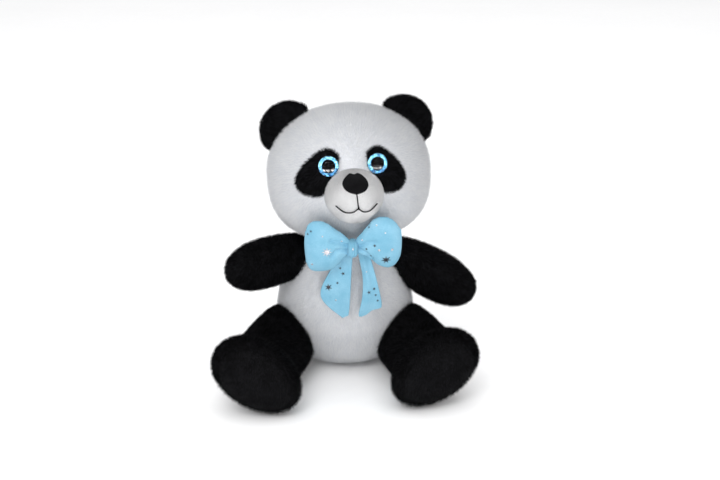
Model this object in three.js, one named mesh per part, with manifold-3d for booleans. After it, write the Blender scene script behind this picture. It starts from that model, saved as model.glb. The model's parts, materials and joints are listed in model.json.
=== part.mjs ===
// A sitting plush panda with a padded bow, as the soft and hard pieces it is sewn from.
// Millimetres, +Z up, the toy faces -Y and sits on z = 0. Left and right are the toy's own: left is +X.
import * as THREE from "three";
import { mergeVertices } from "three/addons/utils/BufferGeometryUtils.js";
import Module from "manifold-3d";

const wasm = await Module();
wasm.setup();

// ---- Driving dimensions -------------------------------------------------------------------------

const SKIN = 3.7; // plush fabric, backing and pressed pile together
const GAP = 0.3; // between two pieces that touch and stay together
const MOVING_GAP = 0.9; // between two pieces that move against each other
const FELT = 1.6; // flat trim fabric: nose and bow tails
const PATCH = 2.8; // the black patch's fabric over the white face
const SLACK = 1.2; // extra room round a filling, which is a coarser solid than the skin over it
const CUT_SIZE = 600; // the blocks that cut a form in two are larger than the whole toy
const THREAD = 1.4; // embroidery thread

const HEAD = {
  centre: [4, -12, 218.5],
  halfWidth: 88,
  halfDepth: 69,
  halfHeight: 73.5,
  fullTop: 2.15, // 2 is a plain ellipsoid, more is squarer
  fullBottom: 2.7,
  turn: 4.5,
  roll: -2.2,
  lookUp: -7,
  room: 9, // the hollow of the shoulders that the head turns and nods in
};

const MUZZLE = { up: -14.5, halfWidth: 31.5, halfHeight: 28.5, halfDepth: 44, reach: 60 };

// The nose's height above the muzzle's middle, and how its outline is stretched.
const NOSE = { up: 17.5, wide: 0.95, tall: 0.78 };

const EYE = {
  apart: 24, // each eye's distance from the middle of the face
  up: 17.8,
  radius: 10.8,
  domeHeight: 6.5,
  pupilRadius: 7.2,
  ringRadius: 9.6,
  postRadius: 2.4,
  postLength: 17,
  washerRadius: 8.5,
  patchLeft: 0.95, // hand-cut, so the two patches are not quite the same width
  patchRight: 1.08,
  ringFace: 1.3, // the glitter's height above the eye's foot
  washerLow: -11.5,
  washerHigh: -9.7,
  pileRoom: 0.4, // the eye stands this far off the patch
};

const EAR = { angle: 37, distance: 75, back: 6, radius: 32, halfThickness: 8.5, rootDepth: 8, bend: 15 };

const TORSO = { height: 166, depthRatio: 0.86, forward: 8, wider: 1.02, seatFlat: 1.2, seam: 6 };

const NECK = { centre: [0, -10, 157], radius: 20 };

const ARM = {
  length: 107,
  root: 21,
  halfWidth: 29.5,
  halfThickness: 20,
  shoulderUp: 127.5,
  shoulderBack: -16,
};
const ARM_LEFT = { out: 51, forward: 4, droop: 29.5, lower: 8, raise: 20 };
const ARM_RIGHT = { out: 39, forward: 34, droop: 2, lower: 15, raise: 1 };

const LEG = {
  hip: [59, -28, 37.5],
  rootReach: 36,
  halfWide: 39, // the thigh's section, along the seam that joins it to the body
  halfNarrow: 29, // and across that seam
  seamTilt: 52, // the seam stands this far up from level, high on the outside of the leg
  footHalfLength: 53,
  footHalfWidth: 37.5,
  footHalfThickness: 27,
  soleInset: 12, // how far the sole's seam lies behind the foot's front
  lower: 20,
  raise: 11,
};
const LEG_LEFT = { foot: [93, -132, 41.5], soleTurn: 16, toeTilt: 32 };
const LEG_RIGHT = { foot: [90, -151, 42.5], soleTurn: 4, toeTilt: 36 };

const BOW = {
  knot: [8, -95, 161],
  knotHalf: [6.5, 11, 9.5],
  loopHalf: [25.5, 14, 36.5],
  loopOut: 27.5,
  loopLeftUp: 6,
  loopRightUp: 1.5,
  tailBehind: 14,
  tailLean: 3,
};

// ---- Finishes -----------------------------------------------------------------------------------

const finish = (color, roughness) => new THREE.MeshStandardMaterial({ color, roughness, metalness: 0 });
const FINISH = {
  whitePlush: finish("#d9dcdf", 0.95),
  blackPlush: finish("#141416", 0.9),
  shortPile: finish("#d6d5d4", 0.9),
  soleVelour: finish("#1c1c1f", 0.85),
  stuffing: finish("#f2f2ee", 1),
  noseFelt: finish("#151517", 0.8),
  thread: finish("#101012", 0.7),
  clearPlastic: finish("#dfe9f2", 0.05),
  blackPlastic: finish("#08080a", 0.2),
  glitterFoil: new THREE.MeshStandardMaterial({ color: "#3fa6d8", roughness: 0.3, metalness: 0.6 }),
  washerPlastic: finish("#e8e8e4", 0.5),
  bowVelour: finish("#8cc6e6", 0.8),
};

// ---- Solids from geometry and back --------------------------------------------------------------

const degrees = THREE.MathUtils.degToRad;

function merged(geometry) {
  const plain = geometry.clone();
  plain.deleteAttribute("normal");
  plain.deleteAttribute("uv");
  return mergeVertices(plain, 1e-4);
}

function toSolid(geometry) {
  const plain = merged(geometry);
  return new wasm.Manifold(
    new wasm.Mesh({
      numProp: 3,
      vertProperties: plain.attributes.position.array,
      triVerts: new Uint32Array(plain.index.array),
    }),
  );
}

function toGeometry(solid) {
  const mesh = solid.getMesh();
  const geometry = new THREE.BufferGeometry();
  geometry.setAttribute("position", new THREE.BufferAttribute(mesh.vertProperties, 3));
  geometry.setIndex(new THREE.BufferAttribute(mesh.triVerts, 1));
  geometry.computeVertexNormals();
  return geometry;
}

// A sphere whose every direction is moved to a place on the wanted form; its poles lie along Z.
function reshape(around, rings, form) {
  const geometry = merged(new THREE.SphereGeometry(1, around, rings).rotateX(Math.PI / 2));
  const place = geometry.attributes.position;
  const direction = new THREE.Vector3();
  for (let i = 0; i < place.count; i += 1) {
    direction.fromBufferAttribute(place, i).normalize();
    place.setXYZ(i, ...form(direction));
  }
  return geometry;
}

// The same form, moved out along its own normals (or in, when the distance is negative).
function offset(geometry, distance) {
  const moved = merged(geometry);
  moved.computeVertexNormals();
  const place = moved.attributes.position;
  const normal = moved.attributes.normal;
  for (let i = 0; i < place.count; i += 1) {
    place.setXYZ(
      i,
      place.getX(i) + normal.getX(i) * distance,
      place.getY(i) + normal.getY(i) * distance,
      place.getZ(i) + normal.getZ(i) * distance,
    );
  }
  return moved;
}

// Fabric of one thickness that lies under a form's surface.
function skinOf(geometry, thickness = SKIN, above = 0) {
  return toSolid(offset(geometry, above)).subtract(toSolid(offset(geometry, above - thickness)));
}

// The filling under a skin.
function fillingOf(coarseGeometry, thickness = SKIN) {
  return toSolid(offset(coarseGeometry, -thickness - GAP - SLACK));
}

// The biggest piece of a cut solid; the offcuts are thrown away.
function mainPiece(solid) {
  return solid.decompose().sort((a, b) => b.volume() - a.volume())[0];
}

function moved(solid, matrix) {
  return solid.transform(matrix.elements);
}

// A block with one face on the plane through `at`, filling the side that `towards` points to.
function sideOf(at, towards) {
  const block = new THREE.BoxGeometry(CUT_SIZE, CUT_SIZE, CUT_SIZE).translate(0, 0, CUT_SIZE / 2);
  const up = new THREE.Vector3(0, 0, 1);
  const turn = new THREE.Quaternion().setFromUnitVectors(up, towards.clone().normalize());
  block.applyQuaternion(turn);
  return toSolid(block.translate(at.x, at.y, at.z));
}

function addNode(group, name, solid, material) {
  const mesh = new THREE.Mesh(toGeometry(solid), material);
  mesh.name = name;
  group.add(mesh);
  return mesh;
}

// ---- Groups, each in the pose that the toy rests in ------------------------------------------------

const panda = new THREE.Group();

function poseGroup(position, turn, order = "XYZ") {
  const group = new THREE.Group();
  group.position.set(...position);
  group.rotation.set(...turn.map(degrees), order);
  group.updateMatrix();
  panda.add(group);
  return group;
}

const headGroup = poseGroup(HEAD.centre, [HEAD.lookUp, HEAD.roll, HEAD.turn], "ZYX");

// ---- Head ---------------------------------------------------------------------------------------

// Squares off a unit direction: height and girth both reach further than on a ball.
function fuller(direction, fullness) {
  const girth = Math.hypot(direction.x, direction.y);
  const power = 2 / fullness;
  const wider = girth > 1e-6 ? Math.pow(girth, power) / girth : 0;
  const height = Math.sign(direction.z) * Math.pow(Math.abs(direction.z), power);
  return [direction.x * wider, direction.y * wider, height];
}

function headForm(direction) {
  const [x, y, z] = fuller(direction, direction.z > 0 ? HEAD.fullTop : HEAD.fullBottom);
  return [x * HEAD.halfWidth, y * HEAD.halfDepth, z * HEAD.halfHeight];
}

const headShape = reshape(22, 12, headForm);

function muzzleForm(direction) {
  // An egg that points forward, its underside a little fuller than its bridge.
  const sag = direction.z < 0 ? 1.0 : 1.06;
  return [
    direction.x * MUZZLE.halfWidth,
    -MUZZLE.reach + direction.y * MUZZLE.halfDepth,
    MUZZLE.up + direction.z * MUZZLE.halfHeight * sag,
  ];
}

const muzzleShape = reshape(16, 11, muzzleForm);

const muzzleFront = sideOf(new THREE.Vector3(0, -MUZZLE.reach - 8, 0), new THREE.Vector3(0, -1, 0));

// Where a line from the front, at a place on the face, meets a form: the point and the way it faces.
function onFace(shape, x, z) {
  const front = new THREE.Vector3(x, -300, z);
  const ray = new THREE.Raycaster(front, new THREE.Vector3(0, 1, 0));
  const hit = ray.intersectObject(new THREE.Mesh(shape))[0];
  return { point: hit.point, normal: hit.face.normal.clone() };
}

// An outline drawn on the face, as a prism that runs through it.
function facePrism(outline) {
  const depth = 260;
  const prism = new THREE.ExtrudeGeometry(outline, { depth, bevelEnabled: false, curveSegments: 8 });
  return toSolid(prism.rotateX(Math.PI / 2));
}

// A smooth closed outline through a few points (across, up).
function roundOutline(points, samples) {
  const curve = new THREE.CatmullRomCurve3(points.map(([x, z]) => new THREE.Vector3(x, z, 0)), true);
  return new THREE.Shape(curve.getPoints(samples).slice(0, -1).map((p) => new THREE.Vector2(p.x, p.y)));
}

function eyeFrame(side) {
  const { point, normal } = onFace(headShape, side * EYE.apart, EYE.up);
  const turn = new THREE.Quaternion().setFromUnitVectors(new THREE.Vector3(0, 0, 1), normal);
  return new THREE.Matrix4().compose(point, turn, new THREE.Vector3(1, 1, 1));
}

function eyePatchOutline(side) {
  // A bean that leans outwards and down from the bridge of the nose.
  const points = [
    [-8.5, 9], [1, 15], [13, 9.5], [26, -4], [31, -17],
    [24, -28], [7.5, -29], [1.5, -17], [-4, -6],
  ];
  const spread = side > 0 ? EYE.patchLeft : EYE.patchRight;
  return roundOutline(points.map(([x, z]) => [side * (EYE.apart + x * spread), EYE.up + z]), 18);
}

function lathe(points, segments = 16) {
  const profile = points.map(([r, z]) => new THREE.Vector2(r, z));
  return toSolid(new THREE.LatheGeometry(profile, segments).rotateX(Math.PI / 2));
}

function rod(radius, low, high, segments = 16) {
  return lathe([[0, low], [radius, low], [radius, high], [0, high]], segments);
}

// Eye pieces, on an axis that leaves the face; zero is the top of the black patch.
function eyeDome() {
  const cap = [];
  const steps = 5;
  for (let i = 0; i < steps; i += 1) {
    const angle = (i / steps) * (Math.PI / 2);
    cap.push([EYE.radius * Math.cos(angle), 1 + EYE.domeHeight * Math.sin(angle)]);
  }
  cap.push([0, 1 + EYE.domeHeight]);
  return lathe([
    [0, 4.2],
    [EYE.pupilRadius + 0.4, 3.4],
    [EYE.pupilRadius + 0.4, 1.7],
    [EYE.ringRadius + 0.3, 1.6],
    [EYE.ringRadius + 0.3, GAP],
    [EYE.radius, GAP],
    ...cap,
  ]);
}

function eyePost() {
  return lathe([
    [0, -EYE.postLength],
    [EYE.postRadius, -EYE.postLength],
    [EYE.postRadius, 1.6],
    [EYE.pupilRadius, 1.6],
    [EYE.pupilRadius, 2.4],
    [EYE.pupilRadius * 0.6, 3.2],
    [0, 3.6],
  ]);
}

function flatRing(outer, low, high) {
  const inner = EYE.postRadius + GAP;
  return lathe([[inner, low], [outer, low], [outer, high], [inner, high], [inner, low]]);
}

function buildHead(group) {
  const seamBack = 8;
  const front = sideOf(new THREE.Vector3(0, seamBack - GAP / 2, 0), new THREE.Vector3(0, -1, 0));
  const back = sideOf(new THREE.Vector3(0, seamBack + GAP / 2, 0), new THREE.Vector3(0, 1, 0));
  let skin = skinOf(headShape);
  let stuffing = fillingOf(reshape(16, 9, headForm));

  // Sockets for the ears and the neck.
  for (const side of [-1, 1]) {
    const room = earRoom(side);
    skin = skin.subtract(room);
    stuffing = stuffing.subtract(room);
  }
  const neckRoom = neckSocket();
  skin = skin.subtract(neckRoom);
  stuffing = stuffing.subtract(neckRoom);

  // Muzzle, over the face.
  const clearOfFace = toSolid(offset(headShape, GAP));
  let muzzleSkin = skinOf(muzzleShape, SKIN - 1).subtract(clearOfFace);
  let muzzleFill = fillingOf(reshape(12, 8, muzzleForm), SKIN - 1).subtract(clearOfFace);

  // Nose and stitched mouth, over the muzzle.
  const noseOutline = [
    [0, 10.4], [3.6, 11.2], [8, 9], [12.6, 3.4], [13.4, -3], [9.5, -8],
    [2, -10.6], [-4.5, -9.8], [-11, -6], [-13.6, -0.6], [-12, 5], [-5.4, 11],
  ];
  const nose = roundOutline(
    noseOutline.map(([x, z]) => [x * NOSE.wide, MUZZLE.up + NOSE.up + z * NOSE.tall]),
    20,
  );
  const noseSolid = skinOf(muzzleShape, FELT, FELT + GAP).intersect(facePrism(nose)).intersect(muzzleFront);
  addNode(group, "nose_patch", noseSolid, FINISH.noseFelt);
  addNode(group, "mouth_thread", mouthThread(), FINISH.thread);

  // Eyes and their patches.
  const muzzleRoom = toSolid(offset(muzzleShape, GAP));
  for (const side of [-1, 1]) {
    const which = side > 0 ? "left" : "right";
    const frame = eyeFrame(side);
    const lift = PATCH + GAP + EYE.pileRoom;
    const onPatch = frame.clone().multiply(new THREE.Matrix4().makeTranslation(0, 0, lift));
    const postRoom = moved(rod(EYE.postRadius + GAP, -60, 20), frame);
    const washerRoom = moved(rod(EYE.washerRadius + 1, -EYE.postLength - 3, 0), frame);
    const patch = skinOf(headShape, PATCH, PATCH + GAP)
      .intersect(facePrism(eyePatchOutline(side)))
      .intersect(front)
      .subtract(muzzleRoom)
      .subtract(postRoom);
    skin = skin.subtract(postRoom);
    stuffing = stuffing.subtract(washerRoom);
    addNode(group, `eye_patch_${which}`, patch, FINISH.blackPlush);
    const eyeRoom = moved(rod(EYE.radius + GAP, -9, 12, 18), onPatch);
    muzzleSkin = muzzleSkin.subtract(eyeRoom);
    muzzleFill = muzzleFill.subtract(eyeRoom);
    addNode(group, `eye_dome_${which}`, moved(eyeDome(), onPatch), FINISH.clearPlastic);
    addNode(group, `eye_post_${which}`, moved(eyePost(), onPatch), FINISH.blackPlastic);
    const ring = moved(flatRing(EYE.ringRadius, GAP, EYE.ringFace), onPatch);
    addNode(group, `glitter_ring_${which}`, ring, FINISH.glitterFoil);
    const washer = moved(flatRing(EYE.washerRadius, EYE.washerLow, EYE.washerHigh), onPatch);
    addNode(group, `eye_washer_${which}`, washer, FINISH.washerPlastic);
  }

  addNode(group, "muzzle_panel", muzzleSkin, FINISH.shortPile);
  addNode(group, "muzzle_stuffing", muzzleFill, FINISH.stuffing);
  addNode(group, "head_front_panel", skin.intersect(front), FINISH.whitePlush);
  addNode(group, "head_back_panel", skin.intersect(back), FINISH.whitePlush);
  addNode(group, "head_stuffing", stuffing, FINISH.stuffing);
}

// A stitched line down from the nose that parts into a smile.
function mouthThread() {
  const line = (points) => {
    const curve = new THREE.CatmullRomCurve3(points.map(([x, z]) => new THREE.Vector3(x, MUZZLE.up + z, 0)));
    const ribbon = new THREE.Shape();
    const half = THREAD / 2;
    const steps = 8;
    const edge = [];
    for (let i = 0; i <= steps; i += 1) {
      const at = curve.getPoint(i / steps);
      const along = curve.getTangent(i / steps);
      const [aside, up] = [along.y * half, along.x * half];
      edge.push([at.x - aside, at.y + up, at.x + aside, at.y - up]);
    }
    ribbon.setFromPoints([
      ...edge.map(([x, z]) => new THREE.Vector2(x, z)),
      ...edge.reverse().map(([, , x, z]) => new THREE.Vector2(x, z)),
    ]);
    return facePrism(ribbon);
  };
  const drop = line([[0, 8.5], [0.6, 1], [1, -4.6]]);
  const smileLeft = line([[1, -4], [5.5, -8], [12, -8], [19, -3]]);
  const smileRight = line([[1, -4], [-4.5, -8], [-12, -8], [-19, -3]]);
  return skinOf(muzzleShape, THREAD, THREAD + GAP)
    .intersect(drop.add(smileLeft).add(smileRight))
    .intersect(muzzleFront);
}

// ---- Ears ---------------------------------------------------------------------------------------

// Half a disc with a rounded root, standing on the head's side; z is outwards, x along its root.
function earForm(direction) {
  const out = direction.z > 0 ? EAR.radius : EAR.rootDepth;
  return [direction.x * EAR.radius, direction.y * EAR.halfThickness, direction.z * out];
}

const earShape = reshape(14, 9, earForm);

function earFrame(side) {
  const angle = degrees(90 - EAR.angle) * side;
  const up = Math.sin(degrees(EAR.angle)) * EAR.distance;
  const out = side * Math.cos(degrees(EAR.angle)) * EAR.distance;
  return new THREE.Matrix4()
    .makeTranslation(out, EAR.back, up)
    .multiply(new THREE.Matrix4().makeRotationY(angle));
}

// The hollow in the head that an ear's root bends in.
function earRoom(side) {
  const sway = EAR.rootDepth * Math.sin(degrees(EAR.bend));
  return moved(toSolid(offset(reshape(10, 6, earForm), MOVING_GAP + 1 + sway)), earFrame(side));
}

function buildEars(group) {
  const middle = new THREE.Vector3();
  for (const side of [-1, 1]) {
    const which = side > 0 ? "left" : "right";
    const ear = toSolid(earShape);
    const fronts = ear.intersect(sideOf(middle.set(0, -GAP / 2, 0), new THREE.Vector3(0, -1, 0)));
    const backs = ear.intersect(sideOf(middle.set(0, GAP / 2, 0), new THREE.Vector3(0, 1, 0)));
    addNode(group, `ear_front_${which}`, moved(fronts, earFrame(side)), FINISH.blackPlush);
    addNode(group, `ear_back_${which}`, moved(backs, earFrame(side)), FINISH.blackPlush);
  }
}

// ---- Neck ---------------------------------------------------------------------------------------

// A short ball of stuffing that the head turns and nods on; `extra` grows it into its socket.
function neckBall(extra = 0) {
  const ball = new THREE.SphereGeometry(NECK.radius + extra, 14, 9);
  return toSolid(ball.translate(...NECK.centre));
}

// The neck's room inside the head, in the head's own frame.
function neckSocket() {
  return moved(neckBall(MOVING_GAP + 0.6), headGroup.matrix.clone().invert());
}

// ---- Torso --------------------------------------------------------------------------------------

function torsoShape(around, steps) {
  // Half of a pear, from the seat up to the neck.
  const profile = new THREE.SplineCurve(
    [
      [0, 0], [38, 1], [61, 15], [73.5, 46], [72.5, 76],
      [62, 106], [47, 134], [34, 154], [0, TORSO.height],
    ].map(
      ([r, z]) => new THREE.Vector2(r, z),
    ),
  );
  const points = profile.getPoints(steps);
  points[0].x = 0;
  points[steps].x = 0;
  const shape = new THREE.LatheGeometry(points, around).rotateX(Math.PI / 2);
  shape.scale(TORSO.wider, TORSO.depthRatio, 1);
  // The belly leans forward, most of all where it is widest.
  const place = shape.attributes.position;
  for (let i = 0; i < place.count; i += 1) {
    const height = place.getZ(i) / TORSO.height;
    const lean = TORSO.forward * Math.sin(Math.PI * Math.min(1, height * 1.1));
    place.setY(i, place.getY(i) - lean - TORSO.forward * 0.4);
    // It sits on a flat seat.
    if (place.getZ(i) < TORSO.seatFlat) {
      place.setZ(i, 0);
    }
  }
  return merged(shape);
}

function buildTorso(group) {
  let skin = skinOf(torsoShape(22, 12));
  let stuffing = fillingOf(torsoShape(16, 12));
  const headRoom = moved(toSolid(offset(reshape(12, 7, headForm), HEAD.room)), headGroup.matrix);
  const rooms = [...limbRooms(), neckBall(MOVING_GAP + 0.6), headRoom];
  for (const room of rooms) {
    skin = skin.subtract(room);
    stuffing = stuffing.subtract(room);
  }
  const front = sideOf(new THREE.Vector3(0, TORSO.seam - GAP / 2, 0), new THREE.Vector3(0, -1, 0));
  const back = sideOf(new THREE.Vector3(0, TORSO.seam + GAP / 2, 0), new THREE.Vector3(0, 1, 0));
  addNode(group, "torso_front_panel", mainPiece(skin.intersect(front)), FINISH.whitePlush);
  addNode(group, "torso_back_panel", mainPiece(skin.intersect(back)), FINISH.whitePlush);
  addNode(group, "torso_stuffing", mainPiece(stuffing), FINISH.stuffing);
}

// ---- Arms ---------------------------------------------------------------------------------------

// A paddle along +X from the shoulder, which is its zero; y is its thickness and z its width.
function armForm(direction) {
  const half = (ARM.length + ARM.root) / 2;
  const [thick, across, along] = fuller(direction, 2.2);
  const spread = 1 + 0.14 * along;
  return [
    ARM.length - half + along * half,
    thick * ARM.halfThickness * spread,
    across * ARM.halfWidth * spread,
  ];
}

const armShape = reshape(14, 11, armForm);

function armFrame(arm, side) {
  const heading = side > 0 ? -arm.forward : 180 + arm.forward;
  return new THREE.Matrix4()
    .makeTranslation(side * arm.out, ARM.shoulderBack, ARM.shoulderUp)
    .multiply(new THREE.Matrix4().makeRotationZ(degrees(heading)))
    .multiply(new THREE.Matrix4().makeRotationY(degrees(arm.droop)));
}

function buildArm(group, arm, side) {
  const which = side > 0 ? "left" : "right";
  const frame = armFrame(arm, side);
  const skin = skinOf(armShape);
  const at = new THREE.Vector3(0, GAP / 2, 0);
  // Seen from the front, the front panel is the one on the -Y side of the toy.
  const facing = side > 0 ? -1 : 1;
  const frontSide = sideOf(at.clone().multiplyScalar(facing), new THREE.Vector3(0, facing, 0));
  const backSide = sideOf(at.clone().multiplyScalar(-facing), new THREE.Vector3(0, -facing, 0));
  addNode(group, `arm_front_${which}`, moved(skin.intersect(frontSide), frame), FINISH.blackPlush);
  addNode(group, `arm_back_${which}`, moved(skin.intersect(backSide), frame), FINISH.blackPlush);
  const stuffing = fillingOf(reshape(12, 8, armForm));
  addNode(group, `arm_stuffing_${which}`, moved(stuffing, frame), FINISH.stuffing);
}

// The fan that an arm's root sweeps inside the torso, from its raised to its lowered place.
function armRoom(arm, side) {
  const reach = 60;
  const round = ARM.root + 3;
  const outer = ARM.halfWidth + 3;
  const up = degrees(arm.raise);
  const down = degrees(-arm.lower);
  const fan = new THREE.Shape();
  const edge = (x, z, turn) => [
    x * Math.cos(turn) - z * Math.sin(turn),
    x * Math.sin(turn) + z * Math.cos(turn),
  ];
  fan.moveTo(...edge(0, round, up));
  fan.absarc(0, 0, round, up + Math.PI / 2, down + Math.PI * 1.5, false);
  fan.lineTo(...edge(reach, -outer, down));
  fan.lineTo(...edge(reach * 1.5, 0, (up + down) / 2));
  fan.lineTo(...edge(reach, outer, up));
  const half = ARM.halfThickness + MOVING_GAP;
  const slab = new THREE.ExtrudeGeometry(fan, { depth: 2 * half, bevelEnabled: false, curveSegments: 5 });
  slab.translate(0, 0, -half).rotateX(Math.PI / 2);
  return moved(toSolid(slab), armFrame(arm, side));
}

// ---- Legs ---------------------------------------------------------------------------------------

// A thigh along +X from the hip, which is its zero. Its section is an oval, y along its wide way.
function thighShape(length, around, rings) {
  const half = (length + LEG.rootReach) / 2;
  return reshape(around, rings, (direction) => {
    const [wide, narrow, along] = fuller(direction, 2.35);
    return [length - half + along * half, wide * LEG.halfWide, narrow * LEG.halfNarrow];
  });
}

// Foot: x towards the toes, y through its thickness with the sole at -y, z across.
function footForm(direction) {
  const [x, z, y] = fuller(new THREE.Vector3(direction.x, direction.z, direction.y), 2.3);
  const toe = 1 + 0.08 * x;
  const flat = y < 0 ? 0.86 : 1;
  return [x * LEG.footHalfLength, y * LEG.footHalfThickness * flat, z * LEG.footHalfWidth * toe];
}

function legFrames(leg, side) {
  const hip = new THREE.Vector3(side * LEG.hip[0], LEG.hip[1], LEG.hip[2]);
  const foot = new THREE.Vector3(side * leg.foot[0], leg.foot[1], leg.foot[2]);
  const along = foot.clone().sub(hip).normalize();
  const across = new THREE.Vector3(0, 0, 1).cross(along).normalize();
  const top = along.clone().cross(across);
  // The oval stands from low on the inside of the leg to high on its outside.
  const thigh = new THREE.Matrix4()
    .makeBasis(along, across, top)
    .setPosition(hip)
    .multiply(new THREE.Matrix4().makeRotationX(degrees(side * LEG.seamTilt)));
  const sole = new THREE.Matrix4()
    .makeTranslation(foot.x, foot.y, foot.z)
    .multiply(new THREE.Matrix4().makeRotationZ(degrees(side * leg.soleTurn)))
    .multiply(new THREE.Matrix4().makeRotationY(degrees(side > 0 ? -leg.toeTilt : 180 + leg.toeTilt)));
  return { hip, foot, thigh, sole, across };
}

// The whole leg as one solid: a thigh that ends inside its foot.
function legSolid(leg, side, extra, [thighRings, footRings]) {
  const { hip, foot, thigh, sole } = legFrames(leg, side);
  const reach = hip.distanceTo(foot) - 4;
  const thighPart = toSolid(offset(thighShape(reach, thighRings + 3, thighRings), extra));
  const footPart = toSolid(offset(reshape(footRings + 5, footRings, footForm), extra));
  return moved(thighPart, thigh).add(moved(footPart, sole));
}

function buildLeg(group, leg, side) {
  const which = side > 0 ? "left" : "right";
  const { hip, sole } = legFrames(leg, side);
  const soleFront = new THREE.Vector3(0, -1, 0).transformDirection(sole);
  const seamDepth = LEG.footHalfThickness * 0.86 - LEG.soleInset;
  const seam = new THREE.Vector3(0, -seamDepth, 0).applyMatrix4(sole);
  const fine = [10, 10];
  const skin = legSolid(leg, side, 0, fine).subtract(legSolid(leg, side, -SKIN, fine));
  const ahead = seam.clone().addScaledVector(soleFront, GAP);
  const footSkin = moved(skinOf(reshape(15, 10, footForm)), sole);
  addNode(group, `foot_sole_${which}`, footSkin.intersect(sideOf(ahead, soleFront)), FINISH.soleVelour);
  const upper = skin.subtract(sideOf(seam, soleFront));
  const above = new THREE.Vector3(0, 0, 1);
  const below = new THREE.Vector3(0, 0, -1);
  const level = hip.clone().setZ(hip.z + 4);
  const topHalf = upper.intersect(sideOf(level.clone().setZ(level.z + GAP / 2), above));
  const underHalf = upper.intersect(sideOf(level.clone().setZ(level.z - GAP / 2), below));
  addNode(group, `leg_top_${which}`, topHalf, FINISH.blackPlush);
  addNode(group, `leg_under_${which}`, underHalf, FINISH.blackPlush);
  const filling = legSolid(leg, side, -SKIN - GAP - SLACK, [8, 8]);
  addNode(group, `leg_stuffing_${which}`, filling, FINISH.stuffing);
}

// The hollow in the body that a thigh's root turns in.
function legRoom(leg, side) {
  const { thigh } = legFrames(leg, side);
  const sway = 5;
  return moved(toSolid(offset(thighShape(70, 11, 8), MOVING_GAP + sway)), thigh);
}

function limbRooms() {
  return [armRoom(ARM_LEFT, 1), armRoom(ARM_RIGHT, -1), legRoom(LEG_LEFT, 1), legRoom(LEG_RIGHT, -1)];
}

// ---- Bow ----------------------------------------------------------------------------------------

// A padded loop: narrow at the knot, full and rounded away from it. x is away from the knot.
function loopForm(direction) {
  const [across, through, up] = BOW.loopHalf;
  const far = (1 + direction.x) / 2;
  const pinch = 0.45 + 0.55 * Math.sqrt(far);
  return [direction.x * across, direction.y * through * pinch, direction.z * up * pinch];
}

const loopShape = reshape(14, 9, loopForm);

function buildBow(group) {
  const knot = new THREE.Vector3(...BOW.knot);
  const knotShape = reshape(12, 8, (d) => {
    const [x, y, z] = fuller(d, 2.6);
    return [x * BOW.knotHalf[0], y * BOW.knotHalf[1], z * BOW.knotHalf[2]];
  });
  const knotSolid = toSolid(knotShape.translate(...BOW.knot));
  const knotRoom = toSolid(offset(knotShape, GAP));
  const headRoom = moved(toSolid(offset(headShape, 1)), headGroup.matrix);
  addNode(group, "bow_knot", knotSolid.subtract(headRoom), FINISH.bowVelour);
  for (const side of [-1, 1]) {
    const which = side > 0 ? "left" : "right";
    const lift = side > 0 ? BOW.loopLeftUp : BOW.loopRightUp;
    const frame = new THREE.Matrix4()
      .makeTranslation(knot.x + side * BOW.loopOut, knot.y, knot.z + lift)
      .multiply(new THREE.Matrix4().makeRotationX(degrees(12)))
      .multiply(new THREE.Matrix4().makeRotationZ(side > 0 ? 0 : Math.PI));
    const skin = moved(skinOf(loopShape, SKIN - 1.5), frame).subtract(knotRoom);
    const filling = moved(fillingOf(reshape(12, 7, loopForm), SKIN - 1.5), frame).subtract(knotRoom);
    addNode(group, `bow_loop_${which}`, skin, FINISH.bowVelour);
    addNode(group, `bow_filling_${which}`, filling, FINISH.stuffing);
    addNode(group, `bow_tail_${which}`, bowTail(side), FINISH.bowVelour);
  }
}

// A flat tail that hangs from under the knot and widens to a slanted end.
function bowTail(side) {
  const outline =
    side > 0
      ? [[5, 4], [13, 4], [19, -7], [31, -58], [22, -64], [13, -71], [6.5, -70], [10, -50], [10.5, -27]]
      : [[-7, 8], [0, 4], [-1, -18], [-3.5, -66], [-7, -71.5], [-13, -71.5], [-34, -48], [-22, -17]];
  const shape = new THREE.Shape(outline.map(([x, z]) => new THREE.Vector2(BOW.knot[0] + x, z)));
  const cloth = { depth: FELT * 2, bevelEnabled: false };
  const hang = new THREE.ExtrudeGeometry(shape, cloth).rotateX(Math.PI / 2);
  const leanBack = new THREE.Matrix4()
    .makeTranslation(0, BOW.knot[1] + BOW.tailBehind, BOW.knot[2] - BOW.knotHalf[2])
    .multiply(new THREE.Matrix4().makeRotationX(degrees(-BOW.tailLean)));
  return moved(toSolid(hang), leanBack);
}

// ---- Assembly -----------------------------------------------------------------------------------

buildHead(headGroup);
buildEars(headGroup);
addNode(panda, "neck_stuffing", neckBall(0), FINISH.stuffing);
buildTorso(panda);
buildArm(panda, ARM_LEFT, 1);
buildArm(panda, ARM_RIGHT, -1);
buildLeg(panda, LEG_LEFT, 1);
buildLeg(panda, LEG_RIGHT, -1);
buildBow(panda);

export default panda;
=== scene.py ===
# %% [markdown]
# # A sitting plush panda with a padded bow
# The toy is sewn from cushions: a round head, a pear-shaped body, two arms and two legs, each cut from a front
# and a back panel and filled with fibre. The frame holds the solid model of every piece, so this lesson only
# makes the looks: each new piece is placed by what the frame says, and rides on the body that it belongs to.

# %% Load the frame
import json
import math

import bmesh
import bpy
import numpy as np
from mathutils import Matrix, Vector
from mathutils.bvhtree import BVHTree


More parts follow.
